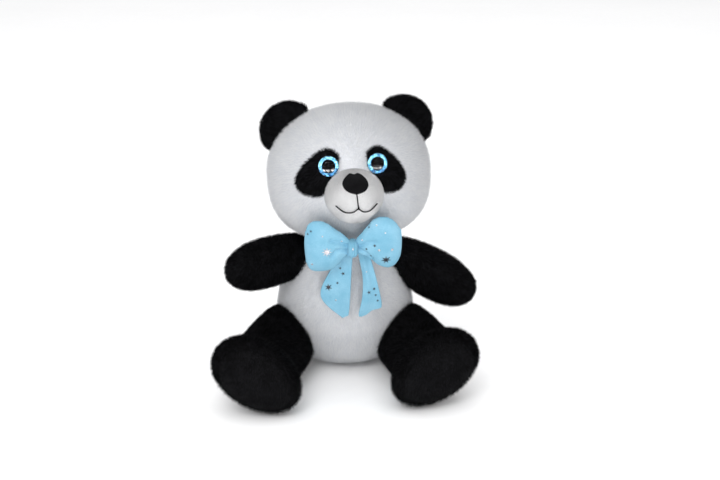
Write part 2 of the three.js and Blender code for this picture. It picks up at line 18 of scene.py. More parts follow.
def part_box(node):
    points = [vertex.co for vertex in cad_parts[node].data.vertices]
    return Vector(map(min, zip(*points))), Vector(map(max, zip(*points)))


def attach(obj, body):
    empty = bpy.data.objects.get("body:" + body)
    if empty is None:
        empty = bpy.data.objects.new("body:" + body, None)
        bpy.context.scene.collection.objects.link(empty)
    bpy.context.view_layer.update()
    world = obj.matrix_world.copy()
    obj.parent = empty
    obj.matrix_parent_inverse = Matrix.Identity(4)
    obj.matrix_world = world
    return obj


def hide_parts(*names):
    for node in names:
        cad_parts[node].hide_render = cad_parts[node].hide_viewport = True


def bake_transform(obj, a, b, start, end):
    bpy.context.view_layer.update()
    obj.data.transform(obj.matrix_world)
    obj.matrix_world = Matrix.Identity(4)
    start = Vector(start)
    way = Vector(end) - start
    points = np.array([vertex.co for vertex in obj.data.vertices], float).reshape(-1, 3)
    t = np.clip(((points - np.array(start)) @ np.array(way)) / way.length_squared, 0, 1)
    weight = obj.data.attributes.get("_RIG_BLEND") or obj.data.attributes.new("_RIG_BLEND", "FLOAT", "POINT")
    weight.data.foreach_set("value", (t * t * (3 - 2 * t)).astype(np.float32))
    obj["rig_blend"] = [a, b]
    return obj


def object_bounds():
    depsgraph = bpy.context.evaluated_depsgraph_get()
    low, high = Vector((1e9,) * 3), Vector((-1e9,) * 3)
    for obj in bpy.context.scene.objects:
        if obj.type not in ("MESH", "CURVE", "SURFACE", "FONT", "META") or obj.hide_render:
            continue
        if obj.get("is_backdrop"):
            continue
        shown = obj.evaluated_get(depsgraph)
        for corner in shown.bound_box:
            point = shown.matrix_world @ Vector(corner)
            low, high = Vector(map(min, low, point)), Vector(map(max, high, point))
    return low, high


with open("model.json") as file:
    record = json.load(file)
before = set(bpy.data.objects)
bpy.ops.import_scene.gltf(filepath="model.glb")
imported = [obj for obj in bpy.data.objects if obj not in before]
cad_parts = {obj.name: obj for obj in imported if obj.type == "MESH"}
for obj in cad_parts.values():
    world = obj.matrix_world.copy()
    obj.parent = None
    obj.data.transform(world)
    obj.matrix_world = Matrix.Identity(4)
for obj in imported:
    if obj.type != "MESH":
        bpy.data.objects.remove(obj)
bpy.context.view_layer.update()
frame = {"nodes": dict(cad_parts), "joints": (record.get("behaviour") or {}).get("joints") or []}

MM = 0.001  # everything below is in metres, and millimetres are easier to read

# %% [markdown]
# ## Asking the frame where things are
# A soft piece is built from three facts: the box of its solid, the hinge that it turns on, and the corners of
# the solid's own mesh. Three small helpers fetch them, so no place is typed in twice.


# %% Places from the frame
def cad_points(*nodes):
    """Every corner of some CAD nodes, as rows of x, y, z."""
    return np.array([v.co for node in nodes for v in frame["nodes"][node].data.vertices])


def hinge(name):
    """A joint's place and the direction of its axis."""
    joint = next(j for j in frame["joints"] if j["name"] == name)
    return Vector(joint["pos_m"]), Vector(joint["axis"])


def span_in(axes, *nodes):
    """Lowest and highest corner of some nodes, measured along a turned frame's own axes."""
    back = np.array(axes.inverted())
    points = cad_points(*nodes) @ back[:3, :3].T + back[:3, 3]
    return Vector(points.min(0)), Vector(points.max(0))


HEAD_TURN, HEAD_ROLL, HEAD_LOOK = math.radians(4.5), math.radians(-2.2), math.radians(-7)
head_box = span_in(Matrix.Identity(4), "head_front_panel", "head_back_panel")
head_frame = (
    Matrix.Translation((head_box[0] + head_box[1]) / 2)
    @ Matrix.Rotation(HEAD_TURN, 4, "Z")
    @ Matrix.Rotation(HEAD_ROLL, 4, "Y")
    @ Matrix.Rotation(HEAD_LOOK, 4, "X")
)
head_low, head_high = span_in(head_frame, "head_front_panel", "head_back_panel")
print("head in mm:", [round(c / MM) for c in head_high - head_low])

# %% [markdown]
# ## Cushions
# A ball made from a subdivided cube has even squares and no poles, so cloth and fur sit on it evenly. Each unit
# direction is then moved to its place on the cushion. Pulling in a little from the solid's surface leaves
# room for the fur, which stands proud of the cloth.

# %% Round forms from a cube
PILE_ROOM = 3.4 * MM  # the cloth lies this far under the solid's surface


def new_piece(name, mesh):
    piece = bpy.data.objects.new(name, mesh)
    bpy.context.scene.collection.objects.link(piece)
    return piece


def mesh_from(name, bm):
    mesh = bpy.data.meshes.new(name)
    bm.to_mesh(mesh)
    bm.free()
    mesh.polygons.foreach_set("use_smooth", [True] * len(mesh.polygons))
    return mesh


def round_form(name, cuts, place):
    """A closed skin of even squares; place() says where each unit direction goes."""
    bm = bmesh.new()
    bmesh.ops.create_cube(bm, size=2.0)
    bmesh.ops.subdivide_edges(bm, edges=bm.edges[:], cuts=cuts, use_grid_fill=True)
    for v in bm.verts:
        even = Vector([math.tan(c * math.pi / 4) for c in v.co])
        v.co = place(even.normalized())
    return new_piece(name, mesh_from(name, bm))


def fuller(d, fullness):
    """Squares off a unit direction: height and girth both reach further than on a ball."""
    girth = max(math.hypot(d.x, d.y), 1e-6)
    wider = girth ** (2 / fullness - 1)
    return Vector((d.x * wider, d.y * wider, math.copysign(abs(d.z) ** (2 / fullness), d.z)))


def settled(piece):
    """Applies a piece's modifiers, so that only its mesh is left."""
    graph = bpy.context.evaluated_depsgraph_get()
    mesh = bpy.data.meshes.new_from_object(piece.evaluated_get(graph))
    piece.modifiers.clear()
    piece.data = mesh
    return piece


def surface_of(piece):
    return BVHTree.FromPolygons(
        [v.co for v in piece.data.vertices], [p.vertices for p in piece.data.polygons]
    )


# %% [markdown]
# ## Head, muzzle and body by formula
# The head is a wide ball, squarer below, where the cheeks are heaviest. The body is a pear, turned from a
# half outline, that leans its belly forward. Both are formulas, so the curve stays clean at any fineness.

# %% Head form
HEAD_TOP_FULLNESS, HEAD_CHEEK_FULLNESS = 2.15, 2.7
head_half = (head_high - head_low) / 2 - Vector((PILE_ROOM, PILE_ROOM, PILE_ROOM))


def head_place(d):
    full = fuller(d, HEAD_TOP_FULLNESS if d.z > 0 else HEAD_CHEEK_FULLNESS)
    return head_frame @ Vector([full[i] * head_half[i] for i in range(3)])


head_form = round_form("head_form", 44, head_place)
print("head skin:", len(head_form.data.polygons), "squares")

# %% [markdown]
# ## The muzzle
# A dome of shorter pile is sewn over the face. It is most of an egg lying on its side: only its front stands out
# of the head, so the seam between the two is simply where the egg goes in.

# %% Muzzle form
muzzle_low, muzzle_high = span_in(head_frame, "muzzle_panel")
MUZZLE_DEPTH = 44 * MM  # half the egg's length, most of it inside the face
muzzle_half = Vector(((muzzle_high.x - muzzle_low.x) / 2, MUZZLE_DEPTH, (muzzle_high.z - muzzle_low.z) / 2))
muzzle_half -= Vector((1, 0.6, 1)) * MM
muzzle_middle = Vector(
    (
        (muzzle_low.x + muzzle_high.x) / 2,
        muzzle_low.y + MUZZLE_DEPTH,
        (muzzle_low.z + muzzle_high.z) / 2,
    )
)


def muzzle_place(d):
    return head_frame @ (muzzle_middle + Vector([d[i] * muzzle_half[i] for i in range(3)]))


muzzle_form = round_form("muzzle_form", 28, muzzle_place)
print("muzzle skin:", len(muzzle_form.data.polygons), "squares")

# %% [markdown]
# ## The body
# One half outline, as shares of the width and height, is turned into a pear and flattened from front to back.
# A smooth line through a few points keeps the outline easy to change; it is used again for every cut shape.

# %% Body form
# The pear's half outline, as shares of the body's half width and of its height up to the neck.
PEAR = [
    (0, 0), (0.5, 0.003), (0.83, 0.09), (1, 0.277), (0.986, 0.458), (0.844, 0.64), (0.64, 0.8),
    (0.46, 0.93), (0, 1)
]
BODY_HEIGHT = 166 * MM
BODY_DEPTH_SHARE = 0.843
BELLY_FORWARD = 8 * MM
body_half = 75 * MM - PILE_ROOM


def spline(a, b, c, d, t):
    """A smooth line's place between b and c, where a and d are the points on either side."""
    return 0.5 * (
        2 * b + (c - a) * t + (2 * a - 5 * b + 4 * c - d) * t**2 + (3 * b - a - 3 * c + d) * t**3
    )


def smooth_through(points, share):
    """A place on the smooth line through some points, share 0 to 1."""
    at = share * (len(points) - 1)
    i = min(int(at), len(points) - 2)
    t = at - i
    a, b, c, d = [np.array(points[max(0, min(len(points) - 1, k))], float) for k in range(i - 1, i + 3)]
    return spline(a, b, c, d, t)


def smooth_outline(points, count):
    """A closed smooth line through some points."""
    n = len(points)
    line = []
    for k in range(count):
        at = k / count * n
        i, t = int(at), at - int(at)
        a, b, c, d = [np.array(points[(i + j) % n], float) for j in (-1, 0, 1, 2)]
        line.append(spline(a, b, c, d, t))
    return line


def body_place(d):
    up = 1 - math.acos(max(-1, min(1, d.z))) / math.pi
    reach, height = smooth_through(PEAR, up)
    girth = max(math.hypot(d.x, d.y), 1e-6)
    lean = BELLY_FORWARD * (math.sin(math.pi * min(1, height * 1.1)) + 0.4)
    x = max(reach, 0) * body_half * d.x / girth
    y = max(reach, 0) * body_half * BODY_DEPTH_SHARE * d.y / girth - lean
    return Vector((x, y, PILE_ROOM * 0.8 + max(height, 0) * (BODY_HEIGHT - PILE_ROOM)))


body_form = round_form("body_form", 44, body_place)
print("body skin:", len(body_form.data.polygons), "squares")

# %% [markdown]
# ## Arms, legs, ears and bow loops from their solids
# These have the right outline already, but with flat facets. The corners of the solid are wrapped in a tight
# hull, remeshed to even small squares and smoothed. Two hulls remeshed together melt into one skin, which is
# how a foot grows out of its thigh.


# %% Hull, remesh and smooth
def hull_into(bm, points):
    """Adds the tight hull of some points to a mesh."""
    made = bmesh.new()
    for p in points:
        made.verts.new(p)
    out = bmesh.ops.convex_hull(made, input=made.verts)
    loose = [g for g in out["geom_interior"] + out["geom_unused"] if isinstance(g, bmesh.types.BMVert)]
    bmesh.ops.delete(made, geom=list(set(loose)), context="VERTS")
    mesh = bpy.data.meshes.new("hull")
    made.to_mesh(mesh)
    made.free()
    bm.from_mesh(mesh)
    bpy.data.meshes.remove(mesh)


def melted(name, hulls, voxel, smoothing):
    """One smooth closed skin round some hulls."""
    bm = bmesh.new()
    for points in hulls:
        hull_into(bm, points)
    piece = new_piece(name, mesh_from(name, bm))
    return remeshed(piece, voxel, smoothing)


def remeshed(piece, voxel, smoothing):
    """Gives a closed form even squares and smooths away its facets."""
    remesh = piece.modifiers.new("even squares", "REMESH")
    remesh.mode = "VOXEL"
    remesh.voxel_size = voxel
    smooth = piece.modifiers.new("no facets", "SMOOTH")
    smooth.factor = 0.5
    smooth.iterations = smoothing
    return settled(piece)


def pulled_in(piece, depth):
    """Moves a skin in along its own normals."""
    normals = [v.normal.copy() for v in piece.data.vertices]
    for v, n in zip(piece.data.vertices, normals):
        v.co -= n * depth
    piece.data.update()
    return piece


# %% [markdown]
# ## Stuffing the cushions
# Fibre presses outwards and the seams hold back. Cloth simulation shows just that: the skin is cloth, air
# pressure stands for the fibre, and a seam is a line of points that may not move. How far any point may go
# is capped, so the cushion stays inside the room that the frame gives it.


# %% Pressure and seams
def stuffed(piece, pressure, cap, seam_at, seam_normal, seam_width):
    """Blows a closed skin up as cloth, held along the plane where its panels are sewn."""
    rest = np.array([v.co for v in piece.data.vertices])
    away = np.abs((rest - np.array(seam_at)) @ np.array(seam_normal))
    held = piece.vertex_groups.new(name="seam")
    for i in np.nonzero(away < seam_width)[0]:
        held.add([int(i)], 1.0, "REPLACE")
    cloth = piece.modifiers.new("fibre", "CLOTH")
    cloth.settings.use_pressure = True
    cloth.settings.uniform_pressure_force = pressure
    cloth.settings.vertex_group_mass = "seam"
    cloth.settings.tension_stiffness = 30
    cloth.settings.compression_stiffness = 30
    cloth.settings.bending_stiffness = 0.6
    cloth.settings.effector_weights.gravity = 0
    for step in range(1, 21):
        bpy.context.scene.frame_set(step)
    graph = bpy.context.evaluated_depsgraph_get()
    blown = np.array([v.co for v in piece.evaluated_get(graph).data.vertices])
    piece.modifiers.clear()
    bpy.context.scene.frame_set(1)
    go = blown - rest
    far = np.linalg.norm(go, axis=1, keepdims=True)
    go *= np.minimum(1, cap / np.maximum(far, 1e-9))
    piece.data.vertices.foreach_set("co", (rest + go).ravel())
    piece.data.update()
    print(piece.name, "swells up to", round(float(np.minimum(far, cap).max() / MM), 1), "mm")
    piece.vertex_groups.clear()
    finer = piece.modifiers.new("finer", "SUBSURF")
    finer.levels = finer.render_levels = 1
    return settled(piece)


# %% [markdown]
# ## Seams and folds
# Where two panels meet, thread pulls the cloth in and leaves a shallow valley. A gathered bow has folds that run
# out of its knot. Both move the skin by a bell curve of the distance from a plane or a path.

# %% Seam valleys and creases
def seam_valley(piece, at, normal, depth, width):
    """Pulls the skin in along the plane where two panels are sewn together."""
    normals = [v.normal.copy() for v in piece.data.vertices]
    for v, n in zip(piece.data.vertices, normals):
        away = (v.co - Vector(at)).dot(Vector(normal))
        v.co -= n * depth * math.exp(-((away / width) ** 2))
    piece.data.update()
    return piece


def creased(piece, path, depth, width):
    """Presses a fold into the front of a piece, along a path of (x, z) places."""
    front = [v for v in piece.data.vertices if v.normal.y < -0.1]
    moves = []
    for v in front:
        here = Vector((v.co.x, v.co.z))
        away = min(distance_to_line(here, Vector(a), Vector(b)) for a, b in zip(path, path[1:]))
        moves.append(v.normal * depth * math.exp(-((away / width) ** 2)))
    for v, move in zip(front, moves):
        v.co -= move
    piece.data.update()
    return piece


def distance_to_line(p, a, b):
    along = max(0, min(1, (p - a).dot(b - a) / (b - a).length_squared))
    return (p - a - (b - a) * along).length


# %% [markdown]
# ## Arms
# An arm is a sausage of two panels, sewn shut at the hand and to the body at the shoulder. The hull of its solid
# gives the outline, and pressure from the fibre inside gives the fullness between the seams.

# %% Arm forms
SIDES = ("left", "right")
LIMB_SQUARE = 5 * MM
LIMB_START_IN = 2.6 * MM  # a limb's skin starts smaller, and its fibre swells it
LIMB_CAP = 1.6 * MM
arm_form = {}
for side in SIDES:
    shoulder, axis = hinge(f"shoulder_{side}")
    form = melted(f"arm_form_{side}", [cad_points(f"arm_front_{side}", f"arm_back_{side}")], LIMB_SQUARE, 4)
    pulled_in(form, LIMB_START_IN)
    stuffed(form, 4.0, LIMB_CAP, shoulder, axis, 1.5 * MM)
    arm_form[side] = seam_valley(form, shoulder, axis, 0.8 * MM, 3 * MM)
    print(form.name, len(form.data.polygons), "squares")

# %% [markdown]
# ## Legs
# A leg is a thigh with a foot turned up at its end and a flat sole. The foot is found as the part of the solid
# that lies just behind the sole, and a third hull bridges the heel, so the sole doesn't look like a disc.

# %% Leg forms
FOOT_DEPTH = 50 * MM


def thin_direction(points, away_from):
    """The direction in which a dish of points is thinnest, pointing away from a place."""
    middle = points.mean(0)
    axis = Vector(np.linalg.svd(points - middle)[2][2])
    return axis if axis.dot(Vector(middle) - away_from) > 0 else -axis


leg_form, sole_seam = {}, {}
for side in SIDES:
    hip, axis = hinge(f"hip_{side}")
    sole_points = cad_points(f"foot_sole_{side}")
    ahead = thin_direction(sole_points, hip)
    all_points = cad_points(f"leg_top_{side}", f"leg_under_{side}", f"foot_sole_{side}")
    behind_sole = (sole_points @ np.array(ahead)).max() - all_points @ np.array(ahead)
    foot = all_points[behind_sole < FOOT_DEPTH]
    thigh = np.vstack([all_points[behind_sole > FOOT_DEPTH], foot.mean(0)])
    heel = foot.mean(0) + (foot - foot.mean(0)) * 0.72
    bridge = np.vstack([all_points[behind_sole > FOOT_DEPTH], heel - np.array(ahead) * 8 * MM])
    form = melted(f"leg_form_{side}", [foot, thigh, bridge], LIMB_SQUARE, 6)
    pulled_in(form, LIMB_START_IN)
    rim = Vector(sole_points[(sole_points @ np.array(ahead)).argmin()])
    stuffed(form, 4.0, LIMB_CAP, rim, ahead, 1.5 * MM)
    leg_form[side] = seam_valley(form, rim, ahead, 0.7 * MM, 3.5 * MM)
    sole_seam[side] = (rim, ahead)
    print(form.name, len(form.data.polygons), "squares, sole faces", [round(c, 2) for c in ahead])

# %% [markdown]
# ## Ears
# An ear is two half discs sewn round the rim and lightly filled, so it keeps the outline of its solid.

# %% Ear forms
ear_form = {}
for side in SIDES:
    form = melted(f"ear_form_{side}", [cad_points(f"ear_front_{side}", f"ear_back_{side}")], 2.2 * MM, 5)
    ear_form[side] = pulled_in(form, 1.0 * MM)
print("ear skins:", [len(ear_form[side].data.polygons) for side in SIDES], "squares")

# %% [markdown]
# ## Bow loops
# Each loop is a small pillow, drawn as an outline from in front and crowned on both faces, thin where the knot
# pinches it. Cloth under pressure rounds it, and the folds are pressed in last, where the gathers start.

# %% Bow loop forms
knot_low, knot_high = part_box("bow_knot")
knot = (knot_low + knot_high) / 2
LOOP_LEAN = math.radians(12)
LOOP_THROUGH = Vector((0, math.cos(LOOP_LEAN), math.sin(LOOP_LEAN)))  # through a loop's thickness
# Each loop's outline, as (x, z) from the knot in millimetres.
LOOP_OUTLINE = {
    "right": [
        (-1, 8), (-17.2, 23), (-33.5, 33), (-46, 29), (-50.6, 12.5), (-50, -10), (-45.6, -26), (-33, -28.6),
        (-18.4, -24.4), (-8, -11), (-1, -5),
    ],
    "left": [
        (1, 7), (11.5, 22.5), (22.6, 35.5), (37, 36.5), (49, 24), (51.5, 4.5), (48.8, -14), (40, -24),
        (27.2, -21.6), (15.8, -11.4), (1, -5),
    ],
}
# Folds pressed into each loop's front, as (x, z) from the knot in millimetres.
LOOP_FOLDS = {
    "right": [[(-5, -2), (-12, 0), (-17, -1), (-21, -7)], [(-6, 4), (-14, 9), (-22, 11)]],
    "left": [[(5, -1), (12, -4), (19, -11)], [(6, 3), (14, 8), (22, 10)]],
}
CROWN_FRONT, CROWN_BACK = 10.5 * MM, 7.0 * MM


def pillow(name, outline, lean_from, through, front, back, pinch_at, pinch_reach):
    """A crowned closed form inside an outline, thin at its rim and where it is pinched."""
    rings = 14
    middle = Vector(np.mean(outline, axis=0))
    bm = bmesh.new()
    loops = []
    for face, crown in ((-1, front), (1, back)):
        for k in range(rings + 1) if face < 0 else range(rings - 1, -1, -1):
            share = k / rings
            ring = []
            for p in outline[: 1 if k == 0 else None]:
                x, z = middle.lerp(Vector(p), share)
                pinch = min(1, math.hypot(x - pinch_at.x, z - pinch_at.z) / pinch_reach)
                deep = crown * (1 - share**2.4) ** 0.6 * (0.35 + 0.65 * math.sin(pinch * math.pi / 2))
                flat_y = lean_from.y - (z - lean_from.z) * through.z / through.y
                ring.append(bm.verts.new(Vector((x, flat_y, z)) + through * deep * face))
            loops.append(ring)
    for a, b in zip(loops, loops[1:]):
        for i in range(max(len(a), len(b))):
            corners = [a[i % len(a)], a[(i + 1) % len(a)], b[(i + 1) % len(b)], b[i % len(b)]]
            bm.faces.new(list(dict.fromkeys(corners)))
    bmesh.ops.recalc_face_normals(bm, faces=bm.faces[:])
    return new_piece(name, mesh_from(name, bm))


loop_form = {}
for side in SIDES:
    loop_low, loop_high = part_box(f"bow_loop_{side}")
    loop_middle = (loop_low + loop_high) / 2
    outline = [(knot.x + x * MM, knot.z + z * MM) for x, z in smooth_outline(LOOP_OUTLINE[side], 80)]
    form = pillow(
        f"loop_form_{side}", outline, loop_middle, LOOP_THROUGH, CROWN_FRONT, CROWN_BACK, knot, 26 * MM
    )
    remeshed(form, 2.4 * MM, 3)
    stuffed(form, 5.0, 2.0 * MM, loop_middle, LOOP_THROUGH, 1.2 * MM)
    for fold in LOOP_FOLDS[side]:
        creased(form, [(knot.x + x * MM, knot.z + z * MM) for x, z in fold], 2.6 * MM, 2.2 * MM)
    loop_form[side] = form
    print(form.name, len(form.data.polygons), "squares")

# %% [markdown]
# ## Bow knot
# A strip wrapped round the middle of the bow has a waist and a few upright pleats. A cosine across its width
# makes the pleats, because they are even and close.

# %% Bow knot form
KNOT_PLEATS = 5
knot_form = melted("bow_knot_form", [cad_points("bow_knot")], 1.1 * MM, 4)
for v in knot_form.data.vertices:
    across = (v.co.x - knot.x) / (knot_high.x - knot_low.x)
    waist = 1 - 0.16 * math.cos(math.pi * (v.co.z - knot.z) / (knot_high.z - knot_low.z))
    v.co.x = knot.x + (v.co.x - knot.x) * waist * 1.12
    v.co.y += 0.5 * MM * math.cos(2 * math.pi * KNOT_PLEATS * across)
knot_form.data.update()
print("knot skin:", len(knot_form.data.polygons), "squares with", KNOT_PLEATS, "pleats")

# %% [markdown]
# ## Wiring nodes by name
# Materials and geometry are both trees of nodes. One helper adds a node, sets it up, and either links or sets
# each of its inputs, so that a tree reads from top to bottom like a recipe.


# %% Wiring helpers
def wire(tree, kind, inputs=None, **settings):
    """Adds a node, with its settings and with its inputs linked or set."""
    node = tree.nodes.new(kind)
    for key, value in settings.items():
        setattr(node, key, value)
    for key, value in (inputs or {}).items():
        if isinstance(value, bpy.types.NodeSocket):
            tree.links.new(value, node.inputs[key])
        else:
            node.inputs[key].default_value = value
    return node


def ramp(tree, amount, *stops):
    """Colours along a 0 to 1 amount."""
    node = wire(tree, "ShaderNodeValToRGB", {"Fac": amount})
    node.color_ramp.elements.remove(node.color_ramp.elements[1])
    for i, (at, colour) in enumerate(stops):
        element = node.color_ramp.elements[0] if i == 0 else node.color_ramp.elements.new(at)
        element.position = at
        element.color = (*colour, 1)
    return node.outputs["Color"]


def material(name):
    made = bpy.data.materials.new(name)
    made.use_nodes = True
    made.node_tree.nodes.clear()
    return made


def noise_on(tree, scale, detail=3.0):
    """Noise that sits still on the piece, by its own coordinates."""
    place = wire(tree, "ShaderNodeTexCoord").outputs["Object"]
    return wire(
        tree, "ShaderNodeTexNoise", {"Vector": place, "Scale": scale, "Detail": detail}
    ).outputs["Fac"]


def output(tree, shader, bump=None, strength=0.3, distance=0.0005):
    """Ends a material; an optional height becomes its bump."""
    if bump is not None:
        node = wire(tree, "ShaderNodeBump", {"Height": bump, "Strength": strength, "Distance": distance})
        tree.links.new(node.outputs["Normal"], shader.inputs["Normal"])
    out = wire(tree, "ShaderNodeOutputMaterial")
    tree.links.new(shader.outputs[0], out.inputs["Surface"])


# %% [markdown]
# ## Finishes for pile and cloth
# A hair is too fine to carry a pattern, so a coat is mixed from hairs of three plain tones, as real pile is
# never one colour. The roughness varies with a fine noise. The backing cloth under it is knitted, and shows
# only in the partings.


# %% Pile and cloth finishes
def pile_tone(name, colour, sheen, rough=0.75, gloss=0.2):
    """One tone of hair."""
    made = material(name)
    tree = made.node_tree
    roughness = wire(
        tree,
        "ShaderNodeMapRange",
        {"Value": noise_on(tree, 900.0), "To Min": rough - 0.1, "To Max": min(1.0, rough + 0.15)},
    )
    shader = wire(
        tree,
        "ShaderNodeBsdfPrincipled",
        {
            "Base Color": (*colour, 1),
            "Roughness": roughness.outputs["Result"],
            "Specular IOR Level": gloss,
            "Sheen Weight": sheen,
            "Sheen Roughness": 0.4,
        },
    )
    output(tree, shader)
    return made


def cloth_finish(name, dark, light, grain, sheen=0.2, rough=0.9, strength=0.35):
    """Knitted or brushed cloth: two tones in soft patches, and a fine grain that is felt as bump."""
    made = material(name)
    tree = made.node_tree
    patches = noise_on(tree, 60.0, 4.0)
    fine = noise_on(tree, grain, 2.0)
    amount = wire(tree, "ShaderNodeMath", {0: patches, 1: fine}, operation="MULTIPLY")
    amount = wire(tree, "ShaderNodeMath", {0: amount.outputs[0], 1: 2.0}, operation="MULTIPLY")
    shader = wire(
        tree,
        "ShaderNodeBsdfPrincipled",
        {
            "Base Color": ramp(tree, amount.outputs[0], (0.25, dark), (0.75, light)),
            "Roughness": rough,
            "Specular IOR Level": 0.1,
            "Sheen Weight": sheen,
            "Sheen Roughness": 0.35,
        },
    )
    output(tree, shader, fine, strength)
    return made


WHITE_PILE = [
    pile_tone("white_pile_lit", (0.95, 0.96, 0.975), 0.0),
    pile_tone("white_pile_mid", (0.90, 0.915, 0.94), 0.0),
    pile_tone("white_pile_shade", (0.84, 0.86, 0.90), 0.0),
]
BLACK_PILE = [
    pile_tone("black_pile_deep", (0.0025, 0.0025, 0.003), 0.0, 0.7, 0.03),
    pile_tone("black_pile_mid", (0.0045, 0.0045, 0.005), 0.0, 0.65, 0.04),
    pile_tone("black_pile_tip", (0.010, 0.010, 0.012), 0.01, 0.6, 0.06),
]
MUZZLE_PILE = [
    pile_tone("muzzle_pile_lit", (0.93, 0.93, 0.935), 0.0),
    pile_tone("muzzle_pile_mid", (0.895, 0.895, 0.90), 0.0),
    pile_tone("muzzle_pile_shade", (0.85, 0.85, 0.86), 0.0),
]
SOLE_PILE = [
    pile_tone("sole_pile_deep", (0.004, 0.004, 0.0045), 0.0, 0.7, 0.05),
    pile_tone("sole_pile_mid", (0.006, 0.006, 0.007), 0.01, 0.65, 0.06),
    pile_tone("sole_pile_tip", (0.012, 0.012, 0.014), 0.02, 0.6, 0.08),
]
white_cloth = cloth_finish("white_backing", (0.72, 0.74, 0.78), (0.86, 0.87, 0.90), 1500.0)
black_cloth = cloth_finish(
    "black_backing", (0.002, 0.002, 0.0025), (0.006, 0.006, 0.0065), 1500.0, sheen=0.0
)
muzzle_cloth = cloth_finish("muzzle_backing", (0.66, 0.66, 0.67), (0.80, 0.80, 0.80), 1800.0)
fibre = cloth_finish("fibre_filling", (0.78, 0.78, 0.75), (0.92, 0.92, 0.90), 700.0)
bow_cloth = cloth_finish(
    "bow_velour_cloth", (0.17, 0.41, 0.56), (0.27, 0.52, 0.67), 1600.0, sheen=0.08, strength=0.4
)
nose_cloth = cloth_finish(
    "nose_velour", (0.002, 0.002, 0.0025), (0.008, 0.008, 0.009), 2400.0, sheen=0.01, rough=0.85
)
print("pile tones:", len(WHITE_PILE + BLACK_PILE + MUZZLE_PILE + SOLE_PILE))

# %% [markdown]
# ## Growing pile with geometry nodes
# Fur is one shape repeated over a surface: a hair, here a thin closed spike of four faces. The tree scatters
# points over a skin with a fixed seed, stands a spike on each, and leans it along the comb that the skin
# carries as an attribute. Slow noise pulls neighbours together, so the coat breaks into soft tufts.


